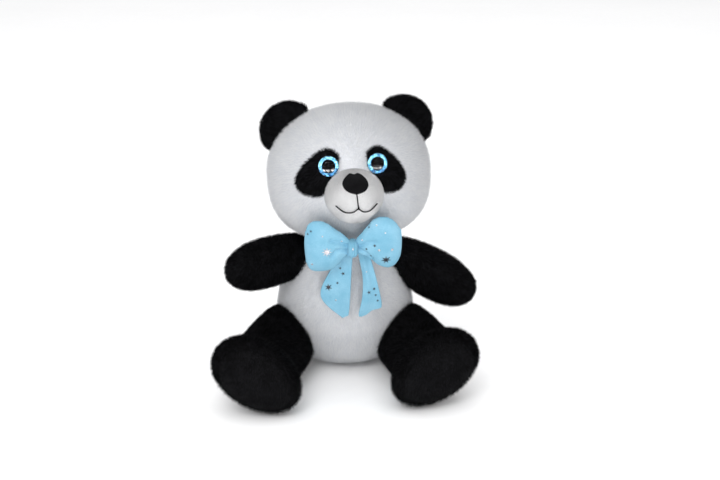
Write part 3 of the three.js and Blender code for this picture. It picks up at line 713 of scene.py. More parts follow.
# %% The pile tree
def pile_tree():
    tree = bpy.data.node_groups.new("pile", "GeometryNodeTree")
    for name, kind in [
        ("Skin", "NodeSocketGeometry"),
        ("Density", "NodeSocketFloat"),
        ("Length", "NodeSocketFloat"),
        ("Thickness", "NodeSocketFloat"),
        ("Lean", "NodeSocketFloat"),
        ("Tufting", "NodeSocketFloat"),
        ("Tuft Size", "NodeSocketFloat"),
        ("Stray", "NodeSocketFloat"),
        ("Seed", "NodeSocketInt"),
        ("Tone 1", "NodeSocketMaterial"),
        ("Tone 2", "NodeSocketMaterial"),
        ("Tone 3", "NodeSocketMaterial"),
    ]:
        tree.interface.new_socket(name=name, in_out="INPUT", socket_type=kind)
    tree.interface.new_socket(name="Pile", in_out="OUTPUT", socket_type="NodeSocketGeometry")
    given = wire(tree, "NodeGroupInput").outputs

    def vector(operation, a, b=(0, 0, 0), scale=1.0):
        inputs = {0: a, "Scale": scale} if operation == "SCALE" else {0: a, 1: b}
        return wire(tree, "ShaderNodeVectorMath", inputs, operation=operation).outputs[0]

    def maths(operation, a, b=0.0):
        return wire(tree, "ShaderNodeMath", {0: a, 1: b}, operation=operation).outputs[0]

    # Points on the skin, none where the pile attribute is near nothing.
    pile = wire(
        tree, "GeometryNodeInputNamedAttribute", {"Name": "pile"}, data_type="FLOAT"
    ).outputs["Attribute"]
    grown = maths("GREATER_THAN", pile, 0.04)
    points = wire(
        tree,
        "GeometryNodeDistributePointsOnFaces",
        {
            "Mesh": given["Skin"], "Density": maths("MULTIPLY", given["Density"], grown),
            "Seed": given["Seed"]
        },
        distribute_method="RANDOM",
    )

    # Which way each hair points: up from the skin, leaning with the comb, pulled about by the tufts.
    place = wire(tree, "GeometryNodeInputPosition").outputs[0]
    comb = wire(
        tree, "GeometryNodeInputNamedAttribute", {"Name": "comb"}, data_type="FLOAT_VECTOR"
    ).outputs["Attribute"]
    per_tuft = maths("DIVIDE", 1.0, given["Tuft Size"])
    tufts = wire(tree, "ShaderNodeTexNoise", {"Vector": place, "Scale": per_tuft, "Detail": 1.0})
    pull = vector("SUBTRACT", tufts.outputs["Color"], (0.5, 0.5, 0.5))
    stray = wire(
        tree,
        "FunctionNodeRandomValue",
        {0: (-1, -1, -1), 1: (1, 1, 1), "Seed": 11},
        data_type="FLOAT_VECTOR",
    ).outputs[0]
    way = vector("ADD", points.outputs["Normal"], vector("SCALE", comb, scale=given["Lean"]))
    way = vector("ADD", way, vector("SCALE", pull, scale=given["Tufting"]))
    way = vector("ADD", way, vector("SCALE", stray, scale=given["Stray"]))
    turn = wire(tree, "FunctionNodeAlignRotationToVector", {"Vector": way}, axis="Z").outputs[0]

    # The hair itself, cut to length.
    spike = wire(
        tree,
        "GeometryNodeMeshCone",
        {"Vertices": 3, "Side Segments": 1, "Radius Top": 0.0, "Radius Bottom": 0.5, "Depth": 1.0},
        fill_type="NGON",
    ).outputs["Mesh"]
    uneven = wire(
        tree, "FunctionNodeRandomValue", {2: 0.7, 3: 1.1, "Seed": 5}, data_type="FLOAT"
    ).outputs[1]
    tall = maths("MULTIPLY", maths("MULTIPLY", given["Length"], pile), uneven)
    size = wire(
        tree, "ShaderNodeCombineXYZ", {"X": given["Thickness"], "Y": given["Thickness"], "Z": tall}
    ).outputs[0]
    hairs = wire(
        tree,
        "GeometryNodeInstanceOnPoints",
        {"Points": points.outputs["Points"], "Instance": spike, "Rotation": turn, "Scale": size},
    ).outputs[0]

    # A tone for each hair: partly its tuft's, partly its own.
    own = wire(tree, "FunctionNodeRandomValue", {2: 0.0, 3: 1.0, "Seed": 23}, data_type="FLOAT").outputs[1]
    patch = wire(
        tree, "ShaderNodeTexNoise", {"Vector": place, "Scale": maths("MULTIPLY", per_tuft, 0.5)}
    ).outputs[0]
    tone = maths("ADD", maths("MULTIPLY", own, 0.45), maths("MULTIPLY", patch, 0.55))
    kept = wire(tree, "GeometryNodeCaptureAttribute", {"Geometry": hairs}, domain="INSTANCE")
    kept.capture_items.new("FLOAT", "Tone")
    kept.capture_items.new("VECTOR", "Shading")
    tree.links.new(tone, kept.inputs[1])
    tree.links.new(vector("ADD", points.outputs["Normal"], vector("SCALE", way, scale=0.3)), kept.inputs[2])
    coat = wire(tree, "GeometryNodeRealizeInstances", {"Geometry": kept.outputs["Geometry"]}).outputs[0]
    coat = wire(tree, "GeometryNodeSetShadeSmooth", {"Geometry": coat}).outputs[0]
    coat = wire(
        tree, "GeometryNodeSetMeshNormal", {
            "Mesh": coat, "Custom Normal": kept.outputs[2]
        }, mode="FREE", domain="POINT"
    ).outputs[0]
    coat = wire(tree, "GeometryNodeSetMaterial", {"Geometry": coat, "Material": given["Tone 2"]}).outputs[0]
    for test, limit, name in (("LESS_THAN", 0.43, "Tone 3"), ("GREATER_THAN", 0.56, "Tone 1")):
        chosen = wire(
            tree, "FunctionNodeCompare", {0: kept.outputs[1], 1: limit}, data_type="FLOAT", operation=test
        )
        coat = wire(
            tree,
            "GeometryNodeSetMaterial",
            {"Geometry": coat, "Selection": chosen.outputs[0], "Material": given[name]},
        ).outputs[0]
    wire(tree, "NodeGroupOutput", {"Pile": coat})
    return tree


pile_nodes = pile_tree()
pile_sockets = {
    item.name: item.identifier for item in pile_nodes.interface.items_tree if item.in_out == "INPUT"
}
print("pile tree:", len(pile_nodes.nodes), "nodes")

# %% [markdown]
# ## Combing a skin
# Before pile can grow, the skin needs two things at each corner: which way the hair lies, and how long it is,
# from 0 for none to 1. Hair is left off where another cushion presses on the skin, and it is clipped
# short where a smooth piece such as the bow lies on it, so nothing pokes through.


# %% Comb and clip
COVERED_WITHIN = 2.3 * MM  # skin this close under a patch is bare


def combed(skin, flow, buried=(), clipped=(), edged=(), covered=(), short_at=None):
    """Gives a skin its comb directions and its pile lengths, below 0 where no hair grows."""
    mesh = skin.data
    comb = np.zeros((len(mesh.vertices), 3), np.float32)
    pile = np.ones(len(mesh.vertices), np.float32)
    rules = [(tree, 1.5 * MM, 1.0) for tree in buried]
    rules += [(tree, 6 * MM, 8 * MM) for tree in clipped]
    rules += [(tree, 1.5 * MM, 8 * MM) for tree in edged]
    for i, v in enumerate(mesh.vertices):
        lie = flow(v.co)
        lie = lie - v.normal * lie.dot(v.normal)
        comb[i] = lie.normalized() if lie.length > 1e-6 else lie
        for tree, reach, far in rules:
            pile[i] = min(pile[i], max(-1.0, outside(tree, v.co, far) / reach))
        for tree in covered:
            pile[i] = min(pile[i], max(-1.0, (tree.find_nearest(v.co)[3] - COVERED_WITHIN) / (1.5 * MM)))
        if short_at:
            pile[i] *= short_at(v.co)
    for name, kind, values in (("comb", "FLOAT_VECTOR", comb), ("pile", "FLOAT", pile)):
        attribute = mesh.attributes.new(name, kind, "POINT")
        attribute.data.foreach_set("vector" if kind == "FLOAT_VECTOR" else "value", values.ravel())
    return skin


def outside(tree, place, far):
    """How far a place is outside a closed skin; negative inside it. Further than far is always outside."""
    hit, normal, _, distance = tree.find_nearest(place)
    if distance > far:
        return distance
    return math.copysign(distance, (place - hit).dot(normal))


def grow_pile(
    skin, name, tones, count, length, thickness, lean, seed, tufting=0.9, tuft=4.5 * MM, stray=0.25
):
    """A coat of about `count` hairs on a combed skin, as a piece of its own."""
    mesh = skin.data
    pile = np.zeros(len(mesh.vertices), np.float32)
    mesh.attributes["pile"].data.foreach_get("value", pile)
    area = sum(p.area for p in mesh.polygons if max(pile[i] for i in p.vertices) > 0.04)
    coat = new_piece(name, mesh.copy())
    modifier = coat.modifiers.new("pile", "NODES")
    modifier.node_group = pile_nodes
    chosen = {
        "Density": count / max(area, 1e-9),
        "Length": length,
        "Thickness": thickness,
        "Lean": lean,
        "Tufting": tufting,
        "Tuft Size": tuft,
        "Stray": stray,
        "Seed": seed,
        "Tone 1": tones[0],
        "Tone 2": tones[1],
        "Tone 3": tones[2],
    }
    for key, value in chosen.items():
        modifier[pile_sockets[key]] = value
    settled(coat)
    for extra in [a.name for a in coat.data.attributes if a.name in ("comb", "pile")]:
        coat.data.attributes.remove(coat.data.attributes[extra])
    print(name, len(coat.data.polygons), "faces over", round(area * 1e4), "square cm")
    return coat


# %% [markdown]
# ## Cutting panels
# Each cushion's skin is sewn from panels, so the closed form is cut along its seams. Hair grows on the open
# panel, and then the panel gets the thickness of its cloth. The fibre inside is the same form, drawn in.


# %% Panels and filling
CLOTH = 1.2 * MM


def cut_out(form, name, planes):
    """The part of a skin on one side of some planes, open along the cuts."""
    bm = bmesh.new()
    bm.from_mesh(form.data)
    for at, toward in planes:
        everything = bm.verts[:] + bm.edges[:] + bm.faces[:]
        bmesh.ops.bisect_plane(bm, geom=everything, plane_co=at, plane_no=toward, clear_inner=True)
    return new_piece(name, mesh_from(name, bm))


def backed(panel, finish, thickness=CLOTH):
    """Gives an open panel its cloth's thickness, on the inside."""
    for name in ("comb", "pile"):
        if name in panel.data.attributes:
            panel.data.attributes.remove(panel.data.attributes[name])
    solid = panel.modifiers.new("cloth", "SOLIDIFY")
    solid.thickness = thickness
    solid.offset = -1
    settled(panel)
    panel.data.materials.clear()
    panel.data.materials.append(finish)
    return panel


def filling(form, name, body, nodes):
    """The fibre inside a cushion."""
    inner = new_piece(name, form.data.copy())
    pulled_in(inner, CLOTH * 2)
    inner.data.materials.clear()
    inner.data.materials.append(fibre)
    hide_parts(*nodes)
    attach(inner, body)
    return inner


def put_on(piece, body, slot, *nodes):
    """Settles a finished piece on its body."""
    if nodes:
        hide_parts(*nodes)
    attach(piece, body)
    return piece


# %% [markdown]
# ## Coats
# Each fabric is one recipe: the cloth behind, three tones of hair, and how long, thick, leaning and unruly the
# hair is. A panel then only needs the name of its coat, its cuts and the way that it is combed.


# %% Coats and the sewn panel
COATS = {
    "white": dict(
        cloth=white_cloth, slot="white_plush", tones=WHITE_PILE, length=5.5 * MM, thickness=0.48 * MM, lean=0.5, stray=0.4
    ),
    "black": dict(
        cloth=black_cloth, slot="black_plush", tones=BLACK_PILE, length=5.5 * MM, thickness=0.5 * MM, lean=0.7, stray=0.45
    ),
    "patch": dict(
        cloth=black_cloth,
        slot="black_plush",
        tones=BLACK_PILE,
        length=5.0 * MM,
        thickness=0.45 * MM,
        lean=1.3,
        tufting=1.3,
        tuft=3 * MM,
    ),
    "muzzle": dict(
        cloth=muzzle_cloth,
        slot="short_pile",
        tones=MUZZLE_PILE,
        length=2.2 * MM,
        thickness=0.4 * MM,
        lean=0.9,
        tufting=0.5,
        stray=0.2,
    ),
    "sole": dict(
        cloth=black_cloth,
        slot="sole_velour",
        tones=SOLE_PILE,
        length=2.6 * MM,
        thickness=0.42 * MM,
        lean=0.8,
        tufting=0.8,
        tuft=7 * MM,
    ),
}


def sewn_panel(form, node, body, coat, count, seed, planes, flow, **limits):
    """One panel of a cushion's skin, with its coat of pile, standing for a CAD node."""
    recipe = dict(COATS[coat])
    cloth, slot, tones = recipe.pop("cloth"), recipe.pop("slot"), recipe.pop("tones")
    skin = cut_out(form, node + "_cloth", planes)
    combed(skin, flow, **limits)
    pile = grow_pile(skin, node + "_pile", tones, count, seed=seed, **recipe)
    put_on(pile, body, slot)
    backed(skin, cloth)
    put_on(skin, body, slot, node)
    print(node, "cloth", len(skin.data.polygons), "faces, pile", len(pile.data.polygons), "faces")
    return skin


# %% [markdown]
# ## Trim that lies on a skin
# The eye patches, the nose and the foil stars are cut shapes laid on a curved skin. Each is drawn as an outline
# on the face's own plane, filled with rings of squares, and dropped onto the skin along one direction. It gets
# a top, a rolled rim and an underside, so it is closed.


# %% Laying a cut shape on a skin
def laid(name, outline, middle, drop, thickness, rings=10, lift=0.0):
    """A closed pad of some thickness; drop(x, z) gives a place on the skin under it, and the way out."""
    bm = bmesh.new()
    rows = []
    for k in range(rings + 1):
        share = k / rings
        up = lift + thickness * (1 - share**6) ** 0.5
        rows.append([(share, up) for _ in outline])
    rows += [[(1 - k / rings, lift - 0.15 * thickness) for _ in outline] for k in range(rings + 1)]
    loops = []
    for row in rows:
        if row[0][0] == 0:
            place, out = drop(*middle)
            loops.append([bm.verts.new(place + out * row[0][1])])
            continue
        made = []
        for (share, up), p in zip(row, outline):
            place, out = drop(
                middle[0] + (p[0] - middle[0]) * share, middle[1] + (p[1] - middle[1]) * share
            )
            made.append(bm.verts.new(place + out * up))
        loops.append(made)
    for a, b in zip(loops, loops[1:]):
        n = max(len(a), len(b))
        for i in range(n):
            corners = [a[i % len(a)], a[(i + 1) % len(a)], b[(i + 1) % len(b)], b[i % len(b)]]
            bm.faces.new(list(dict.fromkeys(corners)))
    bmesh.ops.recalc_face_normals(bm, faces=bm.faces[:])
    return new_piece(name, mesh_from(name, bm))


def face_drop(skin):
    """Drops face-plane places (x, z) onto a skin, from in front of the face."""
    tree = surface_of(skin)
    ahead = head_frame.to_3x3() @ Vector((0, -1, 0))

    def drop(x, z):
        start = head_frame @ Vector((x, 0, z)) + ahead * 0.2
        hit, normal, _, _ = tree.ray_cast(start, -ahead)
        if hit is None:
            hit, normal, _, _ = tree.find_nearest(head_frame @ Vector((x, -0.06, z)))
        return hit, normal

    return drop


# %% [markdown]
# ## Eyes
# A safety eye is one moulded part with a stem that passes through the face into a washer: a clear dome, a
# glossy black pupil, and a ring of glitter between them. All are turned on a lathe, on the axis that runs from
# the washer to the dome.


# %% Turning on the eye's axis
def eye_frame_of(side):
    """A frame on the eye's axis, with zero at the foot of the clear dome."""
    foot = cad_points(f"eye_washer_{side}").mean(0)
    dome = cad_points(f"eye_dome_{side}")
    out = Vector(dome.mean(0) - foot).normalized()
    low = ((dome - foot) @ np.array(out)).min()
    turn = Vector((0, 0, 1)).rotation_difference(out)
    return Matrix.Translation(Vector(foot) + out * low) @ turn.to_matrix().to_4x4()


def turned(name, profile, axes, steps=56):
    """A closed form turned from (radius, height) points, from one end of the axis to the other."""
    bm = bmesh.new()
    loops = []
    for radius, height in profile:
        if radius < 1e-9:
            loops.append([bm.verts.new(axes @ Vector((0, 0, height)))])
            continue
        ring = [2 * math.pi * k / steps for k in range(steps)]
        loops.append(
            [bm.verts.new(axes @ Vector((radius * math.cos(a), radius * math.sin(a), height))) for a in ring]
        )
    for a, b in zip(loops, loops[1:]):
        for i in range(steps):
            corners = [a[i % len(a)], a[(i + 1) % len(a)], b[(i + 1) % len(b)], b[i % len(b)]]
            corners = list(dict.fromkeys(corners))
            if len(corners) > 2:
                bm.faces.new(corners)
    bmesh.ops.recalc_face_normals(bm, faces=bm.faces[:])
    return new_piece(name, mesh_from(name, bm))


def cap_profile(radius, rise, start=0.0, steps=14):
    """The outline of a domed cap, from its rim to its middle."""
    return [
        (radius * math.cos(k / steps * math.pi / 2), start + rise * math.sin(k / steps * math.pi / 2))
        for k in range(steps)
    ] + [(0, start + rise)]


# %% [markdown]
# ## Eye materials
# The dome is clear, with a low index so that it doesn't shrink the pupil, and a slightly soft surface that holds
# a point of light. The ring is foil in flakes, each with its own blue, with painted light that makes its top
# paler.
# The pupil takes almost no light.

# %% Eye finishes
def clear_finish():
    made = material("clear_dome")
    tree = made.node_tree
    swirl = wire(
        tree, "ShaderNodeMapRange", {"Value": noise_on(tree, 400.0), "To Min": 0.13, "To Max": 0.16}
    ).outputs["Result"]
    shader = wire(
        tree,
        "ShaderNodeBsdfPrincipled",
        {
            "Base Color": (1, 1, 1, 1),
            "Roughness": swirl,
            "IOR": 1.1,
            "Transmission Weight": 1.0,
        },
    )
    output(tree, shader)
    return made


def gloss_black_finish():
    made = material("gloss_black")
    tree = made.node_tree
    wear = wire(
        tree, "ShaderNodeMapRange", {"Value": noise_on(tree, 700.0), "To Min": 0.03, "To Max": 0.1}
    ).outputs["Result"]
    shader = wire(
        tree, "ShaderNodeBsdfPrincipled", {
            "Base Color": (0.0008, 0.0008, 0.001, 1), "Roughness": wear, "Specular IOR Level": 0.02
        }
    )
    output(tree, shader)
    return made


def glitter_finish():
    """Small flakes of foil, each with its own tilt and blue; the paler top of the ring is painted light from
    above.
    """
    made = material("blue_glitter")
    tree = made.node_tree
    place = wire(tree, "ShaderNodeTexCoord").outputs["Object"]
    flakes = wire(tree, "ShaderNodeTexVoronoi", {"Vector": place, "Scale": 1150.0})
    height = wire(tree, "ShaderNodeSeparateXYZ", {"Vector": place}).outputs["Z"]
    # Painted light from above: the ring grows paler with height, from 9 mm below the eye to 9 mm above it.
    eye_z = hinge("head_nod")[0].z + 79 * MM
    lift = wire(
        tree,
        "ShaderNodeMapRange",
        {
            "Value": height, "From Min": eye_z - 9 * MM, "From Max": eye_z + 9 * MM, "To Min": 0.0,
            "To Max": 0.42
        },
    ).outputs["Result"]
    own = wire(tree, "ShaderNodeSeparateColor", {"Color": flakes.outputs["Color"]}).outputs["Red"]
    own = wire(tree, "ShaderNodeMath", {0: own, 1: 0.55}, operation="MULTIPLY").outputs[0]
    amount = wire(tree, "ShaderNodeMath", {0: lift, 1: own}, operation="ADD").outputs[0]
    colour = ramp(
        tree,
        amount,
        (0.10, (0.0005, 0.004, 0.02)),
        (0.42, (0.003, 0.028, 0.09)),
        (0.68, (0.012, 0.12, 0.27)),
        (0.90, (0.30, 0.70, 0.80)),
    )
    shader = wire(
        tree, "ShaderNodeBsdfPrincipled", {
            "Base Color": colour, "Metallic": 0.2, "Roughness": 0.35, "Specular IOR Level": 0.2
        }
    )
    output(tree, shader, flakes.outputs["Distance"], 0.6, 0.0004)
    return made


def plain_moulding_finish():
    made = material("white_moulding")
    tree = made.node_tree
    grain = noise_on(tree, 500.0)
    rough = wire(
        tree, "ShaderNodeMapRange", {"Value": grain, "To Min": 0.45, "To Max": 0.6}
    ).outputs["Result"]
    shader = wire(
        tree,
        "ShaderNodeBsdfPrincipled",
        {
            "Base Color": ramp(tree, grain, (0.3, (0.58, 0.58, 0.56)), (0.7, (0.66, 0.66, 0.64))),
            "Roughness": rough
        },
    )
    output(tree, shader, grain, 0.15)
    return made


clear_plastic = clear_finish()
gloss_black = gloss_black_finish()
blue_glitter = glitter_finish()
white_moulding = plain_moulding_finish()
print("finishes:", [made.name for made in (clear_plastic, gloss_black, blue_glitter, white_moulding)])

# %% [markdown]
# ## Eye pieces
# The three shown pieces share the axis, from the stem outward. The washer on the back of the face is the solid
# model's own piece, with a plain moulded finish, because nobody sees it.

# %% Eye pieces
DOME_RADIUS, DOME_RISE, DOME_RIM = 10.8 * MM, 6.5 * MM, 0.7 * MM
PUPIL_RADIUS, PUPIL_RISE = 6.9 * MM, 0.18 * MM
GLITTER_RADIUS, GLITTER_FACE = 10.1 * MM, 0.9 * MM
STEM_RADIUS, STEM_LENGTH = 2.4 * MM, 17 * MM
eye_pieces = {}
for side in SIDES:
    at = eye_frame_of(side)
    dome = turned(
        f"eye_dome_{side}_clear",
        [(0, 1.25 * MM), (10.3 * MM, 1.25 * MM), (10.4 * MM, 0), (DOME_RADIUS, 0)]
        + cap_profile(DOME_RADIUS, DOME_RISE, DOME_RIM),
        at,
    )
    pupil = turned(
        f"eye_pupil_{side}",
        [
            (0, -STEM_LENGTH), (STEM_RADIUS, -STEM_LENGTH), (STEM_RADIUS, 0.95 * MM),
            (PUPIL_RADIUS, 0.95 * MM)
        ]
        + cap_profile(PUPIL_RADIUS, PUPIL_RISE, 1.0 * MM, 6),
        at,
    )
    ring = turned(
        f"glitter_{side}",
        [
            (STEM_RADIUS + 0.2 * MM, 0.3 * MM),
            (GLITTER_RADIUS, 0.3 * MM),
            (GLITTER_RADIUS, 0.7 * MM),
            (GLITTER_RADIUS - 0.3 * MM, GLITTER_FACE),
            (STEM_RADIUS + 0.2 * MM, GLITTER_FACE),
            (STEM_RADIUS + 0.2 * MM, 0.3 * MM),
        ],
        at,
    )
    welded = bmesh.new()
    welded.from_mesh(ring.data)
    bmesh.ops.remove_doubles(welded, verts=welded.verts[:], dist=1e-6)
    welded.to_mesh(ring.data)
    welded.free()
    for piece, finish, slot, node in (
        (dome, clear_plastic, "clear_plastic", f"eye_dome_{side}"),
        (pupil, gloss_black, "black_plastic", f"eye_post_{side}"),
        (ring, blue_glitter, "glitter_foil", f"glitter_ring_{side}"),
    ):
        piece.data.materials.append(finish)
        put_on(piece, "head", slot, node)
    frame["nodes"][f"eye_washer_{side}"].data.materials.clear()
    frame["nodes"][f"eye_washer_{side}"].data.materials.append(white_moulding)
    eye_pieces[side] = dome
    print("eye", side, "faces", [round(c, 2) for c in at.to_3x3() @ Vector((0, 0, 1))])

# %% [markdown]
# ## Patches and nose
# The eye patches lean outward and down, like a real panda's. The two aren't quite the same width, as hand
# cutting leaves them. The nose is a rounded triangle with a dip in its top.

# %% Patch and nose outlines
EYE_APART, EYE_UP = 24, 17.8
PATCH_OUTLINE = [
    (-8.5, 9), (1, 15), (13, 9.5), (26, -4), (31, -17), (24, -28), (7.5, -29), (1.5, -17), (-4, -6)
]
PATCH_SPREAD = {"left": 0.95, "right": 1.08}
NOSE_OUTLINE = [
    (0, 10.4), (3.6, 11.2), (8, 9), (12.6, 3.4), (13.4, -3), (9.5, -8), (2, -10.6), (-4.5, -9.8), (-11, -6),
    (-13.6, -0.6), (-12, 5), (-5.4, 11),
]
NOSE_UP, NOSE_WIDE, NOSE_TALL = 3.0, 0.95, 0.78
head_drop = face_drop(head_form)
muzzle_drop = face_drop(muzzle_form)
patch_skin = {}
for side in SIDES:
    hand = 1 if side == "left" else -1
    outline = [
        (hand * (EYE_APART + x * PATCH_SPREAD[side]) * MM, (EYE_UP + z) * MM)
        for x, z in smooth_outline(PATCH_OUTLINE, 60)
    ]
    middle = (hand * (EYE_APART + 11) * MM, (EYE_UP - 8) * MM)
    patch_skin[side] = laid(
        f"eye_patch_{side}_cloth", outline, middle, head_drop, 1.2 * MM, rings=14, lift=1.6 * MM
    )

nose_outline = [
    (x * NOSE_WIDE * MM, (NOSE_UP + z * NOSE_TALL) * MM) for x, z in smooth_outline(NOSE_OUTLINE, 72)
]
nose = laid("nose_felt", nose_outline, (0, NOSE_UP * MM), muzzle_drop, 1.7 * MM, rings=12, lift=0.5 * MM)
nose.data.materials.append(nose_cloth)
put_on(nose, "head", "nose_felt", "nose_patch")
print("patches:", [len(patch_skin[side].data.polygons) for side in SIDES], "nose:", len(nose.data.polygons))

# %% [markdown]
# ## Combing
# Plush has a nap: on the face it runs away from the nose, on a limb it runs toward the tip, on the body down.
# Each rule takes a place and gives a direction.

# %% Where the comb points
face_middle = head_frame @ Vector((0, -50 * MM, 0))


def down_the_head(place):
    """Away from the middle of the face and a little down."""
    return (place - face_middle).normalized() + Vector((0, 0, -0.5))


def toward_tip(root, tip):
    along = (tip - root).normalized()
    return lambda place: along + Vector((0, 0, -0.3))


def straight_down(place):
    return Vector((0, 0, -1))


# %% [markdown]
# ## Neighbours
# Pile is pressed flat or cut away where another cushion touches it. One search tree for each skin answers how
# far away it is, so the panels can ask about their neighbours.

# %% Skins that press on each other
trees = {
    "muzzle": surface_of(muzzle_form),
    "head": surface_of(head_form),
    "body": surface_of(body_form),
    "knot": surface_of(knot_form),
}
for side in SIDES:
    trees[f"arm_{side}"] = surface_of(arm_form[side])
    trees[f"leg_{side}"] = surface_of(leg_form[side])
    trees[f"ear_{side}"] = surface_of(ear_form[side])
    trees[f"loop_{side}"] = surface_of(loop_form[side])
    trees[f"patch_{side}"] = surface_of(patch_skin[side])
    trees[f"eye_{side}"] = surface_of(eye_pieces[side])


def skins(*names):
    return [trees[n] for n in names]


bow_skins = skins("loop_left", "loop_right", "knot")
print("skins to measure against:", sorted(trees))

# %% [markdown]
# ## Head panels
# The front and back panels meet behind the ears. The pile is cut under the muzzle and the ears, kept short next
# to the bow, and left off under the eye patches.

# %% Head
HEAD_SEAM = head_frame @ Vector((0, 8 * MM, 0))
head_ahead = head_frame.to_3x3() @ Vector((0, -1, 0))
for node, ahead, count, seed in (
    ("head_front_panel", head_ahead, 42000, 3),
    ("head_back_panel", -head_ahead, 33000, 4),
):
    sewn_panel(
        head_form,
        node,
        "head",
        "white",
        count,
        seed,
        [(HEAD_SEAM, ahead)],
        down_the_head,
        buried=skins("muzzle", "ear_left", "ear_right"),
        clipped=bow_skins,
        covered=skins("patch_left", "patch_right"),
    )
filling(head_form, "head_fibre", "head", ["head_stuffing"])

# %% [markdown]
# ## Muzzle panel
# One panel of short pile, cut off a little way inside the face, combed like the head, and short round the eyes.

# %% Muzzle
sewn_panel(
    muzzle_form,
    "muzzle_panel",
    "head",
    "muzzle",
    22000,
    5,
    [(head_frame @ Vector((0, muzzle_low.y + 40 * MM, 0)), head_ahead)],
    down_the_head,
    buried=skins("head"),
    clipped=bow_skins,
    edged=skins("eye_left", "eye_right"),
)
filling(muzzle_form, "muzzle_fibre", "head", ["muzzle_stuffing"])

# %% [markdown]
# ## Eye patch panels
# A patch is already a closed pad, so it isn't cut or given thickness. Its pile is the black plush's, combed out
# from the eye, and it hangs over the edge a little.

# %% Eye patches
for side in SIDES:
    skin = patch_skin[side]
    recipe = dict(COATS["patch"])
    cloth, slot, tones = recipe.pop("cloth"), recipe.pop("slot"), recipe.pop("tones")
    middle = Vector(eye_frame_of(side).to_translation())
    combed(
        skin,
        lambda place: (place - middle).normalized() + Vector((0, 0, -0.35)),
        buried=skins("head"),
        edged=skins(f"eye_{side}", "muzzle"),
    )
    pile = grow_pile(skin, f"eye_patch_{side}_pile", tones, 5500, seed=7, **recipe)
    put_on(pile, "head", slot)
    for name in ("comb", "pile"):
        skin.data.attributes.remove(skin.data.attributes[name])
    skin.data.materials.clear()
    skin.data.materials.append(black_cloth)
    put_on(skin, "head", slot, f"eye_patch_{side}")
print("eye patches:", [len(patch_skin[side].data.polygons) for side in SIDES], "faces")

# %% [markdown]
# ## Ear panels
# The plane between an ear's two panels is found from its own solid: the thinnest direction of its points. The
# pile is cut short near the head, so that the ear can bend.

# %% Ears
for side in SIDES:
    points = cad_points(f"ear_front_{side}", f"ear_back_{side}")
    middle = Vector(points.mean(0))
    ahead = Vector(np.linalg.svd(points - points.mean(0))[2][2])
    ahead = ahead if ahead.y < 0 else -ahead
    root = hinge(f"ear_bend_{side}")[0]
    for node, toward, count, seed in (
        (f"ear_front_{side}", ahead, 9000, 9),
        (f"ear_back_{side}", -ahead, 8000, 10),
    ):
        sewn_panel(
            ear_form[side],
            node,
            f"ear_{side}",
            "black",
            count,
            seed,
            [(middle, toward)],
            toward_tip(root, middle),
            buried=skins("head"),
            clipped=skins("head"),
        )

# %% [markdown]
# ## Body panels
# A front and a back panel. The pile is shorter at the seat, where it is sat on, and beside the limbs. The neck's
# fibre is a piece of its own, between the body and the head, because the head turns on it.

# %% Body
BODY_SEAM = Vector((0, 6 * MM, 0))
limbs = skins("arm_left", "arm_right", "leg_left", "leg_right")
for node, toward, count, seed in (
    ("torso_front_panel", Vector((0, -1, 0)), 40000, 11),
    ("torso_back_panel", Vector((0, 1, 0)), 30000, 12),
):
    sewn_panel(
        body_form,
        node,
        "torso",
        "white",
        count,
        seed,
        [(BODY_SEAM, toward)],
        straight_down,
        buried=skins("head"),
        clipped=bow_skins,
        edged=limbs,
        short_at=lambda place: min(1.0, 0.25 + max(0.0, place.z) / (6 * MM)),
    )
filling(body_form, "body_fibre", "torso", ["torso_stuffing"])
neck_form = melted("neck_form", [cad_points("neck_stuffing")], 3 * MM, 3)
neck_form.data.materials.append(fibre)
put_on(neck_form, "neck", "stuffing", "neck_stuffing")

# %% [markdown]
# ## Arm panels
# A front and a back panel, split on the plane of the shoulder's hinge and combed toward the hand.

# %% Arms
for side in SIDES:
    shoulder, axis = hinge(f"shoulder_{side}")
    ahead = axis if axis.y < 0 else -axis
    tip = Vector(cad_points(f"arm_front_{side}").mean(0))
    for node, toward, count, seed in (
        (f"arm_front_{side}", ahead, 17000, 13),
        (f"arm_back_{side}", -ahead, 12000, 14),
    ):
        sewn_panel(
            arm_form[side],
            node,
            f"arm_{side}",
            "black",
            count,
            seed,
            [(shoulder, toward)],
            toward_tip(shoulder, tip),
            clipped=bow_skins,
            edged=skins("body", "head"),
        )
    filling(arm_form[side], f"arm_fibre_{side}", f"arm_{side}", [f"arm_stuffing_{side}"])

# %% [markdown]
# ## Leg panels and soles
# Three panels: the sole in short velour, and a top and an under panel that meet at the side seams.

# %% Legs
UP = Vector((0, 0, 1))
for side in SIDES:
    hip, _ = hinge(f"hip_{side}")
    rim, ahead = sole_seam[side]
    seam = hip + UP * 4 * MM
    tip = rim + ahead * 20 * MM
    for node, coat, count, seed, planes in (
        (f"foot_sole_{side}", "sole", 17000, 15, [(rim, ahead)]),
        (f"leg_top_{side}", "black", 24000, 16, [(rim, -ahead), (seam, UP)]),
        (f"leg_under_{side}", "black", 12000, 17, [(rim, -ahead), (seam, -UP)]),
    ):
        sewn_panel(
            leg_form[side],
            node,
            f"leg_{side}",
            coat,
            count,
            seed,
            planes,
            toward_tip(hip, tip) if coat == "black" else straight_down,
            edged=skins("body"),
            short_at=lambda place: min(1.0, 0.25 + max(0.0, place.z) / (6 * MM)),
        )
    filling(leg_form[side], f"leg_fibre_{side}", f"leg_{side}", [f"leg_stuffing_{side}"])

# %% [markdown]
# ## The stitched mouth
# A smile in running stitches. A geometry node tree cuts each line into stitches of equal length and puts a
# rounded bead of thread on each, turned along the line.

# %% Mouth thread
THREAD_RADIUS = 0.75 * MM
MOUTH_LINES = [
    [(0, -5.6), (0.6, -13.5), (1, -19.1)],
    [(1, -18.5), (5.5, -22.5), (12, -22.5), (19, -17.5)],
    [(1, -18.5), (-4.5, -22.5), (-12, -22.5), (-19, -17.5)],
]


